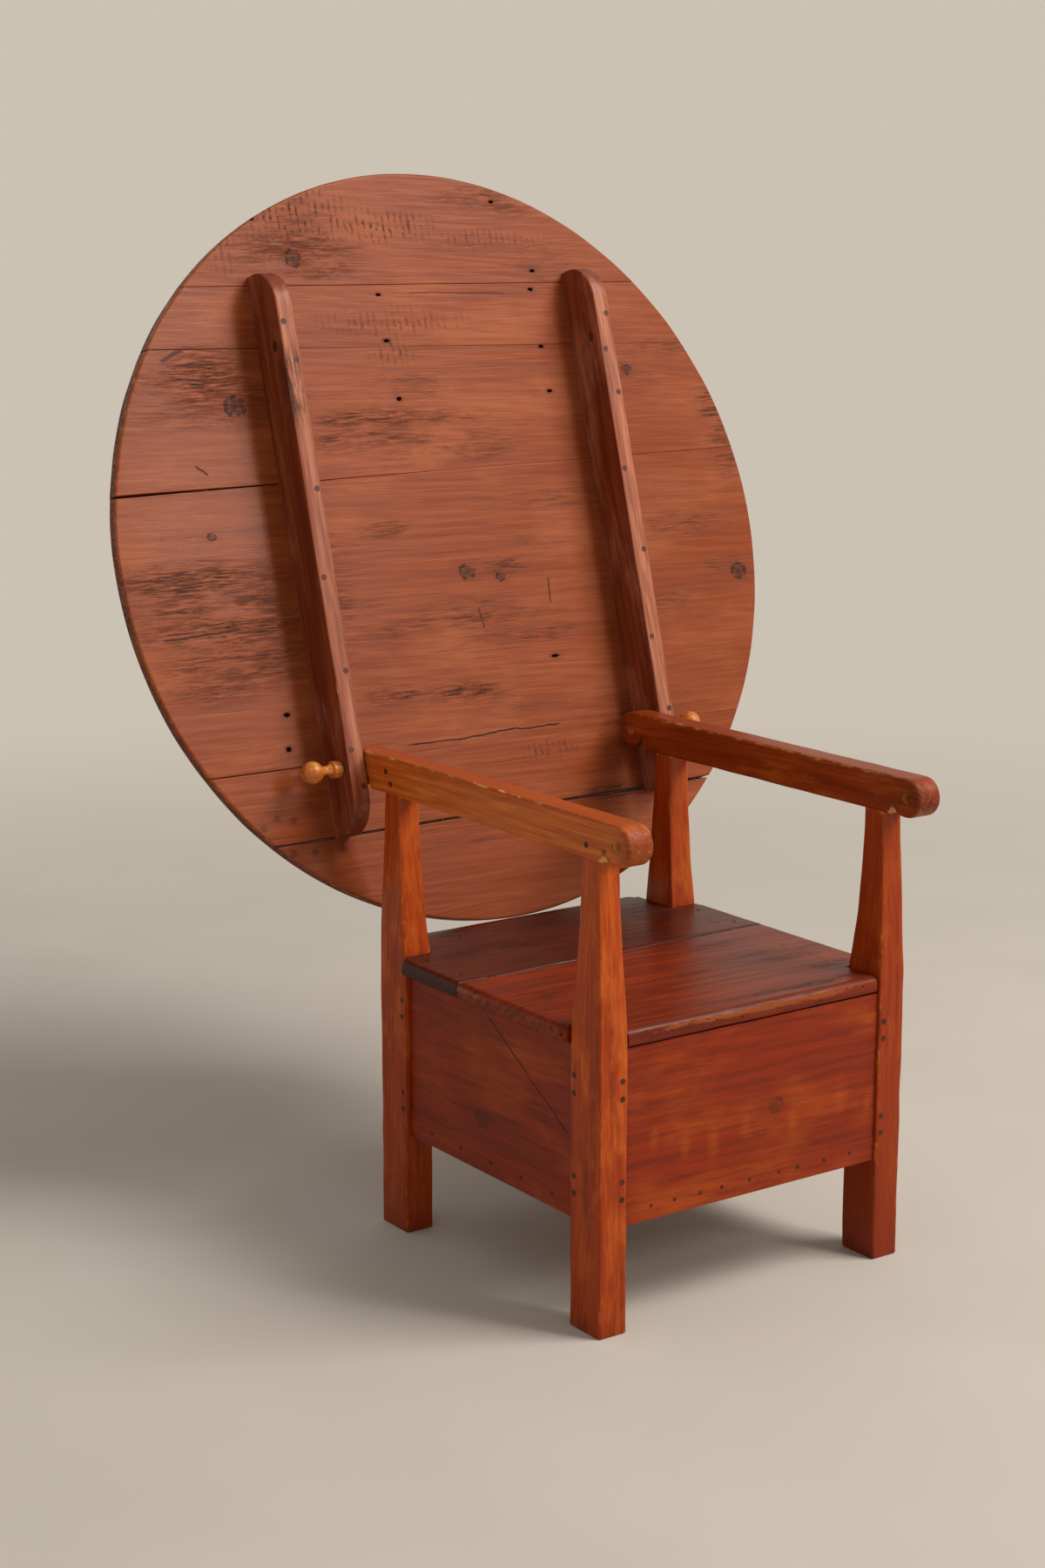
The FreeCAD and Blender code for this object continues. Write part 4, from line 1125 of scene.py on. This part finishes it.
def nick_walls(y, z):
    """Points on the nicks' walls: bare wood on the straight wall, and painted shade at its top and on the
    arc.
    """
    raw, nick_shade = np.zeros(len(y)), np.zeros(len(y))
    apex_z = arm_underside + nick_height
    for eye, toward in arm_ends:
        apex_y = eye - toward * math.sqrt(knuckle ** 2 - (apex_z - eye_height) ** 2)
        up = np.clip((z - arm_underside) / nick_height, 0, 1)
        line = apex_y - toward * nick_mouth * (1 - up)
        low_enough = z < apex_z + on_wall
        straight = (np.abs(y - line) < on_wall) & low_enough
        arc = np.abs(np.hypot(y - eye, z - eye_height) - knuckle) < on_wall
        arc = arc & (toward * (eye - y) > 0) & low_enough
        raw = np.maximum(raw, straight * 1.3 * (1 - up))
        nick_shade = np.maximum(nick_shade, np.maximum(arc * 1.0, straight * up))
    return raw, nick_shade


print("eyes at", [round(eye, 4) for eye, toward in arm_ends])

# %% The two arms
arm_round = 4.4 * mm
arm_fine = (0.0004, 0.001, 0.0018, 0.0028, 0.004, 0.006)


def make_arm(side):
    """One arm with rubbed edges, two eyes and two nicks."""
    low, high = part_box("arm_" + side)
    turn = np.sin(np.linspace(0, math.pi / 2, 16))
    straight = np.linspace(front_eye, pivot.y, 96)[1:-1]
    columns = np.concatenate([front_eye - knuckle * turn[::-1], straight, pivot.y + knuckle * turn])
    half = np.sqrt(np.maximum(knuckle ** 2 - past_eyes(columns) ** 2, 0))
    rows = graded(0, arm_height, 5.5 * mm, arm_fine) / arm_height
    seed = 5.0 if side == "left" else 17.0

    def fall(y, z):
        worn = 1 + 0.45 * ripple(y, z, seed, 0.05)
        waves = 0.2 * mm * ripple(y, z, seed + 3, 0.1)
        return eased(np.maximum(arm_inset(y, z), 0), arm_round * worn) - waves

    points, faces = slab_mesh(columns, eye_height - half, eye_height + half, rows,
                              lambda y, z: high.x - fall(y, z), lambda y, z: low.x + fall(y, z), 6)
    piece = make_piece("old_arm_" + side, points, faces, place_axes((0, 0, 0), (0, 1, 0), (0, 0, 1)))
    for eye, toward in arm_ends:
        drill(piece, [hole_cutter(low.x, high.x, Vector((0, eye, eye_height)))])
        drill(piece, [nick_cutter(eye, toward, low.x, high.x)])

    y, z, x = points_of(piece).T
    inset = np.maximum(arm_inset(y, z), 0)
    flank = np.maximum(np.minimum(x - low.x, high.x - x), 0)
    edge = fading(np.minimum(np.hypot(inset, flank), np.maximum(inset, flank) + 1.2 * mm), 7)
    rubbed = edge * (0.42 + 0.38 * (z > eye_height))
    from_middle = np.abs(y - (front_eye + pivot.y) / 2) - (pivot.y - front_eye) / 2
    ends = np.clip(from_middle / knuckle, 0, 1) * 0.45
    eyes = np.minimum(*[np.hypot(y - eye, z - eye_height) for eye, toward in arm_ends])
    bare = (eyes < bore_radius + 0.3 * mm) * 1.2
    eye_dirt = fading(eyes - bore_radius, 2.5) * 0.6 * (bare < 1)
    crown = np.clip((z - high.z + 4 * mm) / (3 * mm), 0, 1) * 0.8
    upper = np.clip(1 - (high.z - z) / (22 * mm), 0, 1) * 0.4
    # Painted highlight: the right arm's outer face, which faces away from the main lamp, is made paler all
    # over.
    flank_rub, end_stain = (0.6, 2.0) if side == "right" else (0.0, 0.8)
    # The nicks' walls: pale bare wood low on the straight wall, and painted shade at its top and on the
    # knuckle's arc.
    raw, nick_shade = nick_walls(y, z)
    paint(piece, wear=np.maximum(np.maximum(rubbed, ends), np.maximum(bare, raw)),
          smudge=np.maximum(eye_dirt, np.maximum(nick_shade, ends * 1.3)),
          rub=np.maximum(upper, flank_rub * (x < low.x + 6 * mm)),
          deep=np.maximum(np.maximum(crown, ends * end_stain), nick_shade))
    finish = old_wood("arm_%s_stain" % side, arm_tones[side], (seed, 0.2, 0.5), ring=38, ring_depth=0.28,
                      streak_size=75, cloud_size=9, smears=0.42, gloss=(0.32, 0.50), wear=0.75)
    dress(piece, finish, "base", ["arm_" + side])


for side in ("left", "right"):
    make_arm(side)

# %% [markdown]
# Four wide panels close the box under the seat. They sit a little behind the legs' faces,
# and their tenons are hidden in the legs, so each is a plain board here with a rounded foot.
# The faces are not quite flat: planing by hand leaves long shallow waves, which catch the
# light, so the mesh has them too.

# %% The four panels
tenon_length, tenon_shown = 24.0 * mm, 0.5 * mm
outer_foot_round, inner_foot_round = 1.8 * mm, 0.8 * mm


def make_panel(name, along_axis, outer_high, knots=(), lines=(), rubs=(), seed=1.0):
    """A panel of the box; along_axis is 0 for X or 1 for Y, and its outer face may be high or low."""
    low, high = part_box(name)
    through = 1 - along_axis
    start = low[along_axis] + tenon_length - tenon_shown
    stop = high[along_axis] - tenon_length + tenon_shown
    foot, head = low.z, high.z
    columns = graded(start, stop, row_step)
    rows = graded(0, head - foot, row_step) / (head - foot)
    axes = place_axes((0, 0, 0), [(1, 0, 0), (0, 1, 0)][along_axis], (0, 0, 1))
    flip = -1 if along_axis == 0 else 1
    sides = sorted((flip * low[through], flip * high[through]))
    outer_top = outer_high if flip == 1 else not outer_high

    def surface(place, outer, outward):
        def height(along, across):
            drop = eased(across - foot, outer_foot_round if outer else inner_foot_round)
            edge = np.minimum(np.minimum(across - foot, head - across),
                              np.minimum(along - start, stop - along))
            waves = 0.28 * mm * ripple(along, across * 2.4, seed + (0 if outer else 9), 0.14)
            return place - outward * (drop + np.abs(waves * np.clip(edge / 0.02, 0, 1)))
        return height

    points, faces = slab_mesh(columns, np.full(len(columns), foot), np.full(len(columns), head), rows,
                              surface(sides[1], outer_top, 1), surface(sides[0], not outer_top, -1), 2)
    piece = make_piece("old_" + name, points, faces, axes)
    along, across, depth = points_of(piece).T
    edge = np.minimum(np.minimum(along - start, stop - along), head - across)
    paint(piece, wear=fading(across - foot, 3) * 0.5,
          smudge=fading(edge, 7) * 0.55,
          front=(depth > (sides[0] + sides[1]) / 2) == outer_top)
    finish = old_wood(name + "_stain", panel_tones, (seed, seed * 0.4, 0.3), ring=34, ring_depth=0.2,
                      streak_size=95, streak_low=0.24, smears=0.4, gloss=(0.32, 0.52), wear=0.6,
                      knots=knots, lines=lines, rubs=rubs, knot_depth=0.55)
    dress(piece, finish, "base", [name])


front_rubs = in_metres([(-176, 268, 8, 15), (-123, 250, 7, 18), (-73, 244, 9, 20), (-15, 250, 8, 14),
                        (71, 248, 7, 22), (158, 258, 10, 18), (213, 246, 8, 14), (-150, 262, 12, 6),
                        (40, 236, 14, 7)])
middle_y = base_middle.y
side_scratch = [((middle_y + 0.015, 0.395), (middle_y - 0.2, 0.262), 2.2 * mm, 0.85)]
make_panel("front_panel", 0, False, knots=[(0.038, 0.272, 0.013, 0.010)], rubs=front_rubs, seed=1.3)
make_panel("back_panel", 0, True, knots=[(-0.09, 0.30, 0.012, 0.010)], seed=4.9)
make_panel("side_panel_right", 1, False, knots=[(middle_y + 0.015, 0.232, 0.016, 0.012)], lines=side_scratch,
           seed=8.1)
make_panel("side_panel_left", 1, True, knots=[(middle_y - 0.07, 0.30, 0.011, 0.009)], seed=12.7)

# %% [markdown]
# The seat is two boards. The back one is nailed down, and the front one is the lid of the
# box. Both have a rounded nose along the outside, worn by legs and hands, and notches for
# the chair's legs. The outline steps in at a notch, so the columns just before and after
# the step lie almost on one another, and the wall between them is the side of the notch.

# %% Shapes of the seat boards
seat_low, seat_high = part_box("seat_lid")
rear_low, rear_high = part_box("seat_back_board")
seat_top, seat_floor, seat_reach = seat_high.z, seat_low.z, seat_high.x
wing_corner, tongue_corner = 11.0 * mm, 17.0 * mm
nose_top, nose_bottom = 10.5 * mm, 8.5 * mm
seam_ease, seam_ease_below = 4.6 * mm, 0.8 * mm
step_width = 0.05 * mm
tongue_fine = (0.0008, 0.002, 0.004, 0.007, 0.011, 0.016, 0.022)
seat_fine = (0.0006, 0.0014, 0.0026, 0.0042, 0.0063, 0.009, 0.0125)


def step_columns(tongue, reach, corner):
    """Columns of a seat board: close together at the ends and beside the steps."""
    turn = np.sin(np.linspace(0, math.pi / 2, 12))
    flat = np.linspace(tongue + step_width, reach - corner, 9)[:-1]
    wing = np.concatenate([flat, reach - corner + corner * turn])
    middle = graded(-tongue + step_width, tongue - step_width, row_step, tongue_fine)
    return np.concatenate([-wing[::-1], middle, wing])


def round_corner(x, start, radius):
    """How far an outline draws back at a round corner that starts at some X."""
    into = np.clip(np.abs(x) - start, 0, radius)
    return radius - np.sqrt(np.maximum(radius ** 2 - into ** 2, 0))


def nose_distance(x, y, wing_y, outward):
    """How far a point is from the outer edge of a seat board's wing; outward is the wing's way along Y."""
    into_x = np.abs(x) - (seat_reach - wing_corner)
    into_y = outward * (y - wing_y) + wing_corner
    at_corner = wing_corner - np.hypot(np.maximum(into_x, 0), np.maximum(into_y, 0))
    return np.where((into_x > 0) & (into_y > 0), at_corner, seat_reach - np.abs(x))


print("seat top", round(seat_top, 4), "seam at", round((seat_high.y + rear_low.y) / 2, 4))

# %% Marks and dents of the seat
seat_smudges = {
    "seat_lid": [(60, -390, 70, 9, 1.0), (150, -392, 60, 10, 1.0), (200, -330, 55, 12, 1.0),
                 (195, -270, 50, 10, 0.9), (0, -258, 60, 8, 0.7), (150, -228, 60, 8, 0.7),
                 (-230, -230, 60, 10, 0.7), (-245, -284, 50, 8, 0.7), (120, -158, 70, 8, 0.6),
                 (-20, -389, 60, 8, 0.7), (80, -420, 120, 6, 0.7)],
    "seat_back_board": [(-120, 20, 120, 26, 0.9), (60, 90, 120, 30, 0.9), (190, 60, 60, 40, 1.0),
                        (-40, -60, 120, 14, 0.7)],
}
lid_lines = [((36, -385), (68, -386), 1.6, 0.8), ((70, -394), (90, -395), 1.4, 0.7),
             ((130, -390), (162, -397), 2.2, 0.9), ((178, -326), (222, -334), 2.4, 0.9),
             ((172, -267), (215, -275), 2.0, 0.8), ((-32, -388), (-8, -390), 1.5, 0.6),
             ((-13, -256), (30, -261), 1.6, 0.6), ((134, -227), (162, -229), 1.6, 0.6),
             ((-191, -114), (-163, -118), 2.0, 0.8), ((-260, -283), (-232, -286), 1.8, 0.7),
             ((-250, -226), (-213, -233), 1.8, 0.7), ((86, -157), (155, -159), 1.6, 0.6)]
front_dents = [(-193, 422), (-150, 415), (-87, 420), (-71, 416), (-27, 412), (116, 411), (166, 420),
               (196, 418)]
wing_dents = [(-144, 422), (-230, 420), (-331, 419), (-350, 415)]
dent_rings = ((1.5, 3.0), (0.0, 2.1), (-1.4, 0.9))
dent_width = 2.4 * mm


def dent_cutter(places, sides=10):
    """One cutter for small dents: a short cone at each place, along its outward direction."""
    points, faces = [], []
    for place, outward in places:
        faces += stack_faces(len(points), len(dent_rings), sides)
        side = outward.orthogonal().normalized()
        other = outward.cross(side)
        for depth, radius in dent_rings:
            points += [place + (outward * depth + (side * math.cos(a) + other * math.sin(a)) * radius) * mm
                       for a in circle(sides)]
    return make_piece("cutter", points, faces, Matrix.Identity(4))


def dent_floors(places, points):
    """How much each point lies on the floor of a dent."""
    pit = np.zeros(len(points))
    for place, direction in places:
        away = points - np.array(place)
        depth = -away @ np.array(direction)
        beside = np.linalg.norm(away + np.outer(depth, direction), axis=1)
        pit = np.maximum(pit, (beside < dent_width) * np.clip((depth / mm - 0.7) / 0.6, 0, 1))
    return pit


print("dents", len(front_dents) + len(wing_dents))

# %% The back seat board and the lid
leg_inner_x = half_width - leg_width
leg_inner_y = half_depth - leg_depth


def make_seat_board(node, body, tongue, wing_y, end_y, outward, end_corner, seed, finish):
    """A seat board: two wings beside the box, and a tongue between two legs."""
    is_lid = outward < 0
    edge_y = seat_high.y if is_lid else rear_low.y
    columns = step_columns(tongue, seat_reach, wing_corner)
    tongue_ends = end_y - outward * round_corner(columns, tongue - end_corner, max(end_corner, 1e-6))
    wing_ends = wing_y - outward * round_corner(columns, seat_reach - wing_corner, wing_corner)
    ends = np.where(np.abs(columns) < tongue, tongue_ends, wing_ends)
    starts = np.full(len(columns), edge_y)
    low, high = (ends, starts) if is_lid else (starts, ends)
    tall = abs(end_y - edge_y)
    rows = graded(0, tall, 6.5 * mm, seat_fine) / tall

    def drops(x, y, radius, ease):
        worn = 1 + 0.16 * ripple(x, y, seed, 0.05)
        side = np.maximum(nose_distance(x, y, wing_y, outward), 0)
        front = np.maximum(outward * (end_y - y), 0)
        if end_corner > 0:
            inside = np.maximum(np.abs(x) - (tongue - end_corner), 0)
            past = np.maximum(outward * (y - end_y) + end_corner, 0)
            at_corner = np.maximum(end_corner - np.hypot(inside, past), 0)
            front = np.where((inside > 0) & (past > 0), at_corner, front)
        on_tongue = np.abs(x) <= tongue
        seam = np.maximum(outward * (y - edge_y), 0)
        drop = np.maximum(eased(side, radius * worn), np.where(on_tongue, eased(front, radius * worn), 0))
        nearest = np.minimum(np.minimum(side, seam), np.where(on_tongue, front, 1.0))
        return np.maximum(drop, eased(seam, ease)), np.clip(nearest / 0.02, 0, 1)

    def face(x, y):
        drop, inland = drops(x, y, nose_top, seam_ease)
        return seat_top - drop - 0.30 * mm * inland * np.abs(ripple(x, y * 2, seed + 4, 0.15))

    def back(x, y):
        return seat_floor + drops(x, y, nose_bottom, seam_ease_below)[0]

    points, faces = slab_mesh(columns, low, high, rows, face, back, 3)
    piece = make_piece("old_" + node, points, faces, Matrix.Identity(4))
    dents = []
    if is_lid:
        dents = [(Vector((along * mm, end_y, height * mm)), Vector((0, -1, 0)))
                 for along, height in front_dents]
        dents += [(Vector((-seat_reach, along * mm, height * mm)), Vector((-1, 0, 0)))
                  for along, height in wing_dents]
        drill(piece, [dent_cutter(dents)])

    places = points_of(piece)
    x, y, z = places.T
    side = np.maximum(nose_distance(x, y, wing_y, outward), 0)
    front = np.where(np.abs(x) <= tongue, np.maximum(outward * (end_y - y), 0), 1.0)
    seam = np.maximum(outward * (y - edge_y), 0)
    nose = fading(np.minimum(side, front), 7)
    right = np.clip((x + 60 * mm) / (120 * mm), 0, 1)
    # Dirt and painted shade darken the seam's groove.
    seam_dirt_and_shade = fading(seam, 3)
    on_top = z > seat_top - 3 * mm
    smears = ovals(x, y, seat_smudges[node]) * on_top
    if is_lid:
        upper = np.exp(-((z - seat_top + 8 * mm) / (6 * mm)) ** 2)
        handled = np.where(front < side, np.exp(-(x / (190 * mm)) ** 6),
                           np.exp(-((edge_y - y) / (85 * mm)) ** 2))
        # Painted reflection: the whole lid is made paler by at least 0.35, and its worn nose more.
        wear, rub = nose * (0.15 + 0.85 * upper * handled), np.maximum(nose * 0.7, 0.35)
        grubby, shade = np.zeros(len(x)), 0.35 * right * fading(seam, 50)
    else:
        wear, rub = np.zeros(len(x)), 0.9 * right * fading(seam, 70)
        grubby = nose * (np.abs(x) > tongue) * np.clip((seat_top - 1 * mm - z) / (3 * mm), 0, 0.6)
        shade = np.zeros(len(x))
    paint(piece, pit=dent_floors(dents, places),
          wear=wear,
          rub=rub,
          deep=np.maximum(np.maximum(grubby, shade), seam_dirt_and_shade * 0.75),
          smudge=np.maximum(np.maximum(grubby * 0.35, smears), seam_dirt_and_shade * 0.6),
          front=on_top)
    dress(piece, finish, body, [node])


def seat_finish(part, colours, shift, marks):
    """The dark glossy stain of a seat board."""
    return old_wood("seat_%s_stain" % part, colours, (shift, 0.2, 0.4), ring=30, ring_depth=0.34,
                    streak_size=70, smears=0.6, gloss=(0.28, 0.48), shine=0.2, coat=0.05, wear=0.75,
                    lines=lines_in_metres(marks))


back_play, lid_play = 1.0 * mm, 3.0 * mm
make_seat_board("seat_back_board", "base", leg_inner_x - back_play, middle_y + leg_inner_y - back_play,
                rear_high.y, 1, tongue_corner, 21.0, seat_finish("back", back_seat_tones, 2.2, []))
make_seat_board("seat_lid", "seat_lid", leg_inner_x - lid_play, middle_y - leg_inner_y + lid_play,
                seat_low.y, -1, 0.0, 33.0, seat_finish("lid", lid_tones, 6.1, lid_lines))

# %% [markdown]
# The pivot pins were turned on a lathe: a plain shaft, a collar that rests on the batten, a
# thin neck and a ball for the hand. The Screw modifier could spin a drawn profile, and a
# list of (place, radius) pairs does the same with nothing to apply. Two fine grooves on the
# collar are the turner's marks.

# %% The two pins
pin_tones = tones((238, 156, 68), (224, 126, 48), (160, 82, 30), (60, 32, 18), (232, 168, 92))
pin_finish = old_wood("pin_stain", pin_tones, (0.9, 0.4, 0.1), ring=60, ring_depth=0.3, streak_size=180,
                      cloud_size=20, smears=0.2, gloss=(0.26, 0.42), shine=0.3, coat=0.1, wear=0.5)
pin_radius = 7.75 * mm
collar_radius, collar_round, collar_length = 13.0 * mm, 3.0 * mm, 17.0 * mm
neck_length, neck_radius, ball_radius = 16.0 * mm, 7.2 * mm, 17.0 * mm
groove_half, groove_depth = 0.8 * mm, 0.7 * mm
collar_gap = 0.35 * mm


def pin_profile(inner, seat):
    """Places along a pin and its radius there, from the shaft's end to the ball's tip."""
    profile = [(inner, 0.4 * mm), (inner, pin_radius - 1.2 * mm), (inner + 0.4 * mm, pin_radius - 0.4 * mm),
               (inner + 1.2 * mm, pin_radius)]
    profile += [(x, pin_radius) for x in np.linspace(inner + 4 * mm, seat - 0.2 * mm, 12)]
    end = seat + collar_length
    quarter = np.linspace(0, math.pi / 2, 7)
    profile += [(seat + collar_round * (1 - math.cos(a)), collar_radius - collar_round * (1 - math.sin(a)))
                for a in quarter]
    for share in (0.40, 0.60):
        place = seat + collar_length * share
        profile += [(place - groove_half, collar_radius), (place, collar_radius - groove_depth),
                    (place + groove_half, collar_radius)]
    profile += [(end - collar_round * (1 - math.sin(a)), collar_radius - collar_round * (1 - math.cos(a)))
                for a in quarter]
    low_radius, join_radius = collar_radius - collar_round, ball_radius / 2
    dip = (low_radius + join_radius) / 2 - neck_radius
    for share in np.linspace(0, 1, 12)[1:-1]:
        straight = low_radius + (join_radius - low_radius) * share
        profile.append((end + neck_length * share, straight - dip * math.sin(math.pi * share)))
    ball = end + neck_length + ball_radius * math.sqrt(0.75)
    profile += [(ball - ball_radius * math.cos(a), ball_radius * math.sin(a))
                for a in np.linspace(math.pi / 6, math.pi - 0.03, 26)]
    return profile


for side, sign in (("left", 1), ("right", -1)):
    node = "pivot_pin_" + side
    low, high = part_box(node)
    inner = min(abs(low.x), abs(high.x))
    seat = batten_boxes["left"][1].x + collar_gap
    points, faces = turned([(sign * x, r) for x, r in pin_profile(inner, seat)], 56)
    pin = make_piece("turned_pin_" + side, points, faces, Matrix.Translation((0, pivot.y, pivot.z)))
    x, y, z = points_of(pin).T
    radius = np.hypot(y, z)
    paint(pin, wear=np.clip(radius / ball_radius, 0, 1) ** 3 * 0.6,
          smudge=(np.abs(radius - (collar_radius - groove_depth)) < 0.2 * mm) * 0.9)
    dress(pin, pin_finish, node, [node], 40)

# %% [markdown]
# What is left of the frame keeps its own solids, because their shapes are right: pegs, plugs,
# dowels, nails, screws, hinges and the rough boards of the box bottom. They only need a
# finish. Each one here is a small recipe of noise on the Object coordinates, which for these
# pieces are simply places in the frame. A word in a node's name tells which finish it gets.

# %% Finishes for the small parts
def end_grain(name, light, dark):
    """The sawn end of a wooden peg: blotchy and darkened by old stain."""
    finish, shader, spot = new_finish(name)
    fleck = noise_value(spot, 900, 4, 0.7)
    cloud = noise_value(spot, 45, 3)
    share = plus(times(fleck, 0.6), times(cloud, 0.4))
    link(mixed(between(share, 0.38, 0.62), dark, light), shader.inputs["Base Color"])
    link(spread(cloud, 0.35, 0.6), shader.inputs["Roughness"])
    roughen(shader, fleck, 0.5, 0.0004)
    return finish


def old_iron(name, clean, rust, metal):
    """Iron that has browned: bare metal in places and rust in others."""
    finish, shader, spot = new_finish(name)
    rusty = between(noise_value(spot, 160, 4, 0.65), 0.42, 0.58)
    link(mixed(rusty, clean, rust), shader.inputs["Base Color"])
    link(spread(rusty, metal, 0.1), shader.inputs["Metallic"])
    link(spread(rusty, 0.38, 0.75), shader.inputs["Roughness"])
    roughen(shader, noise_value(spot, 1100, 3), 0.4, 0.0003)
    return finish


bottom_tones = tones((176, 132, 88), (154, 108, 68), (116, 76, 46), (58, 40, 28), (186, 148, 106))
small_finishes = {
    "peg": end_grain("peg_end_grain", tone(92, 44, 24), tone(44, 21, 14)),
    "plug": end_grain("plug_end_grain", tone(112, 54, 34), tone(56, 27, 19)),
    "dowel": end_grain("dowel_wood", tone(186, 140, 92), tone(140, 96, 58)),
    "hinge": old_iron("old_iron", tone(92, 84, 78), tone(64, 38, 26), 0.8),
    "nail": old_iron("nail_iron", tone(84, 46, 32), tone(60, 27, 16), 0.3),
    "bottom_board": old_wood("bottom_board_wood", bottom_tones, (0.7, 0.3, 0.2), ring=18, smears=0.5,
                             wear=0.0, gloss=(0.6, 0.8), coat=0.0),
}
small_finishes["screw"] = small_finishes["hinge"]
print("small finishes", list(small_finishes))

# %% Put the finishes on
for kind, finish in small_finishes.items():
    fitting = [node for node in frame["nodes"] if kind in node]
    for node in fitting:
        for slot in frame["nodes"][node].material_slots:
            slot.material = finish
    print(kind, "finish on", len(fitting), "nodes")
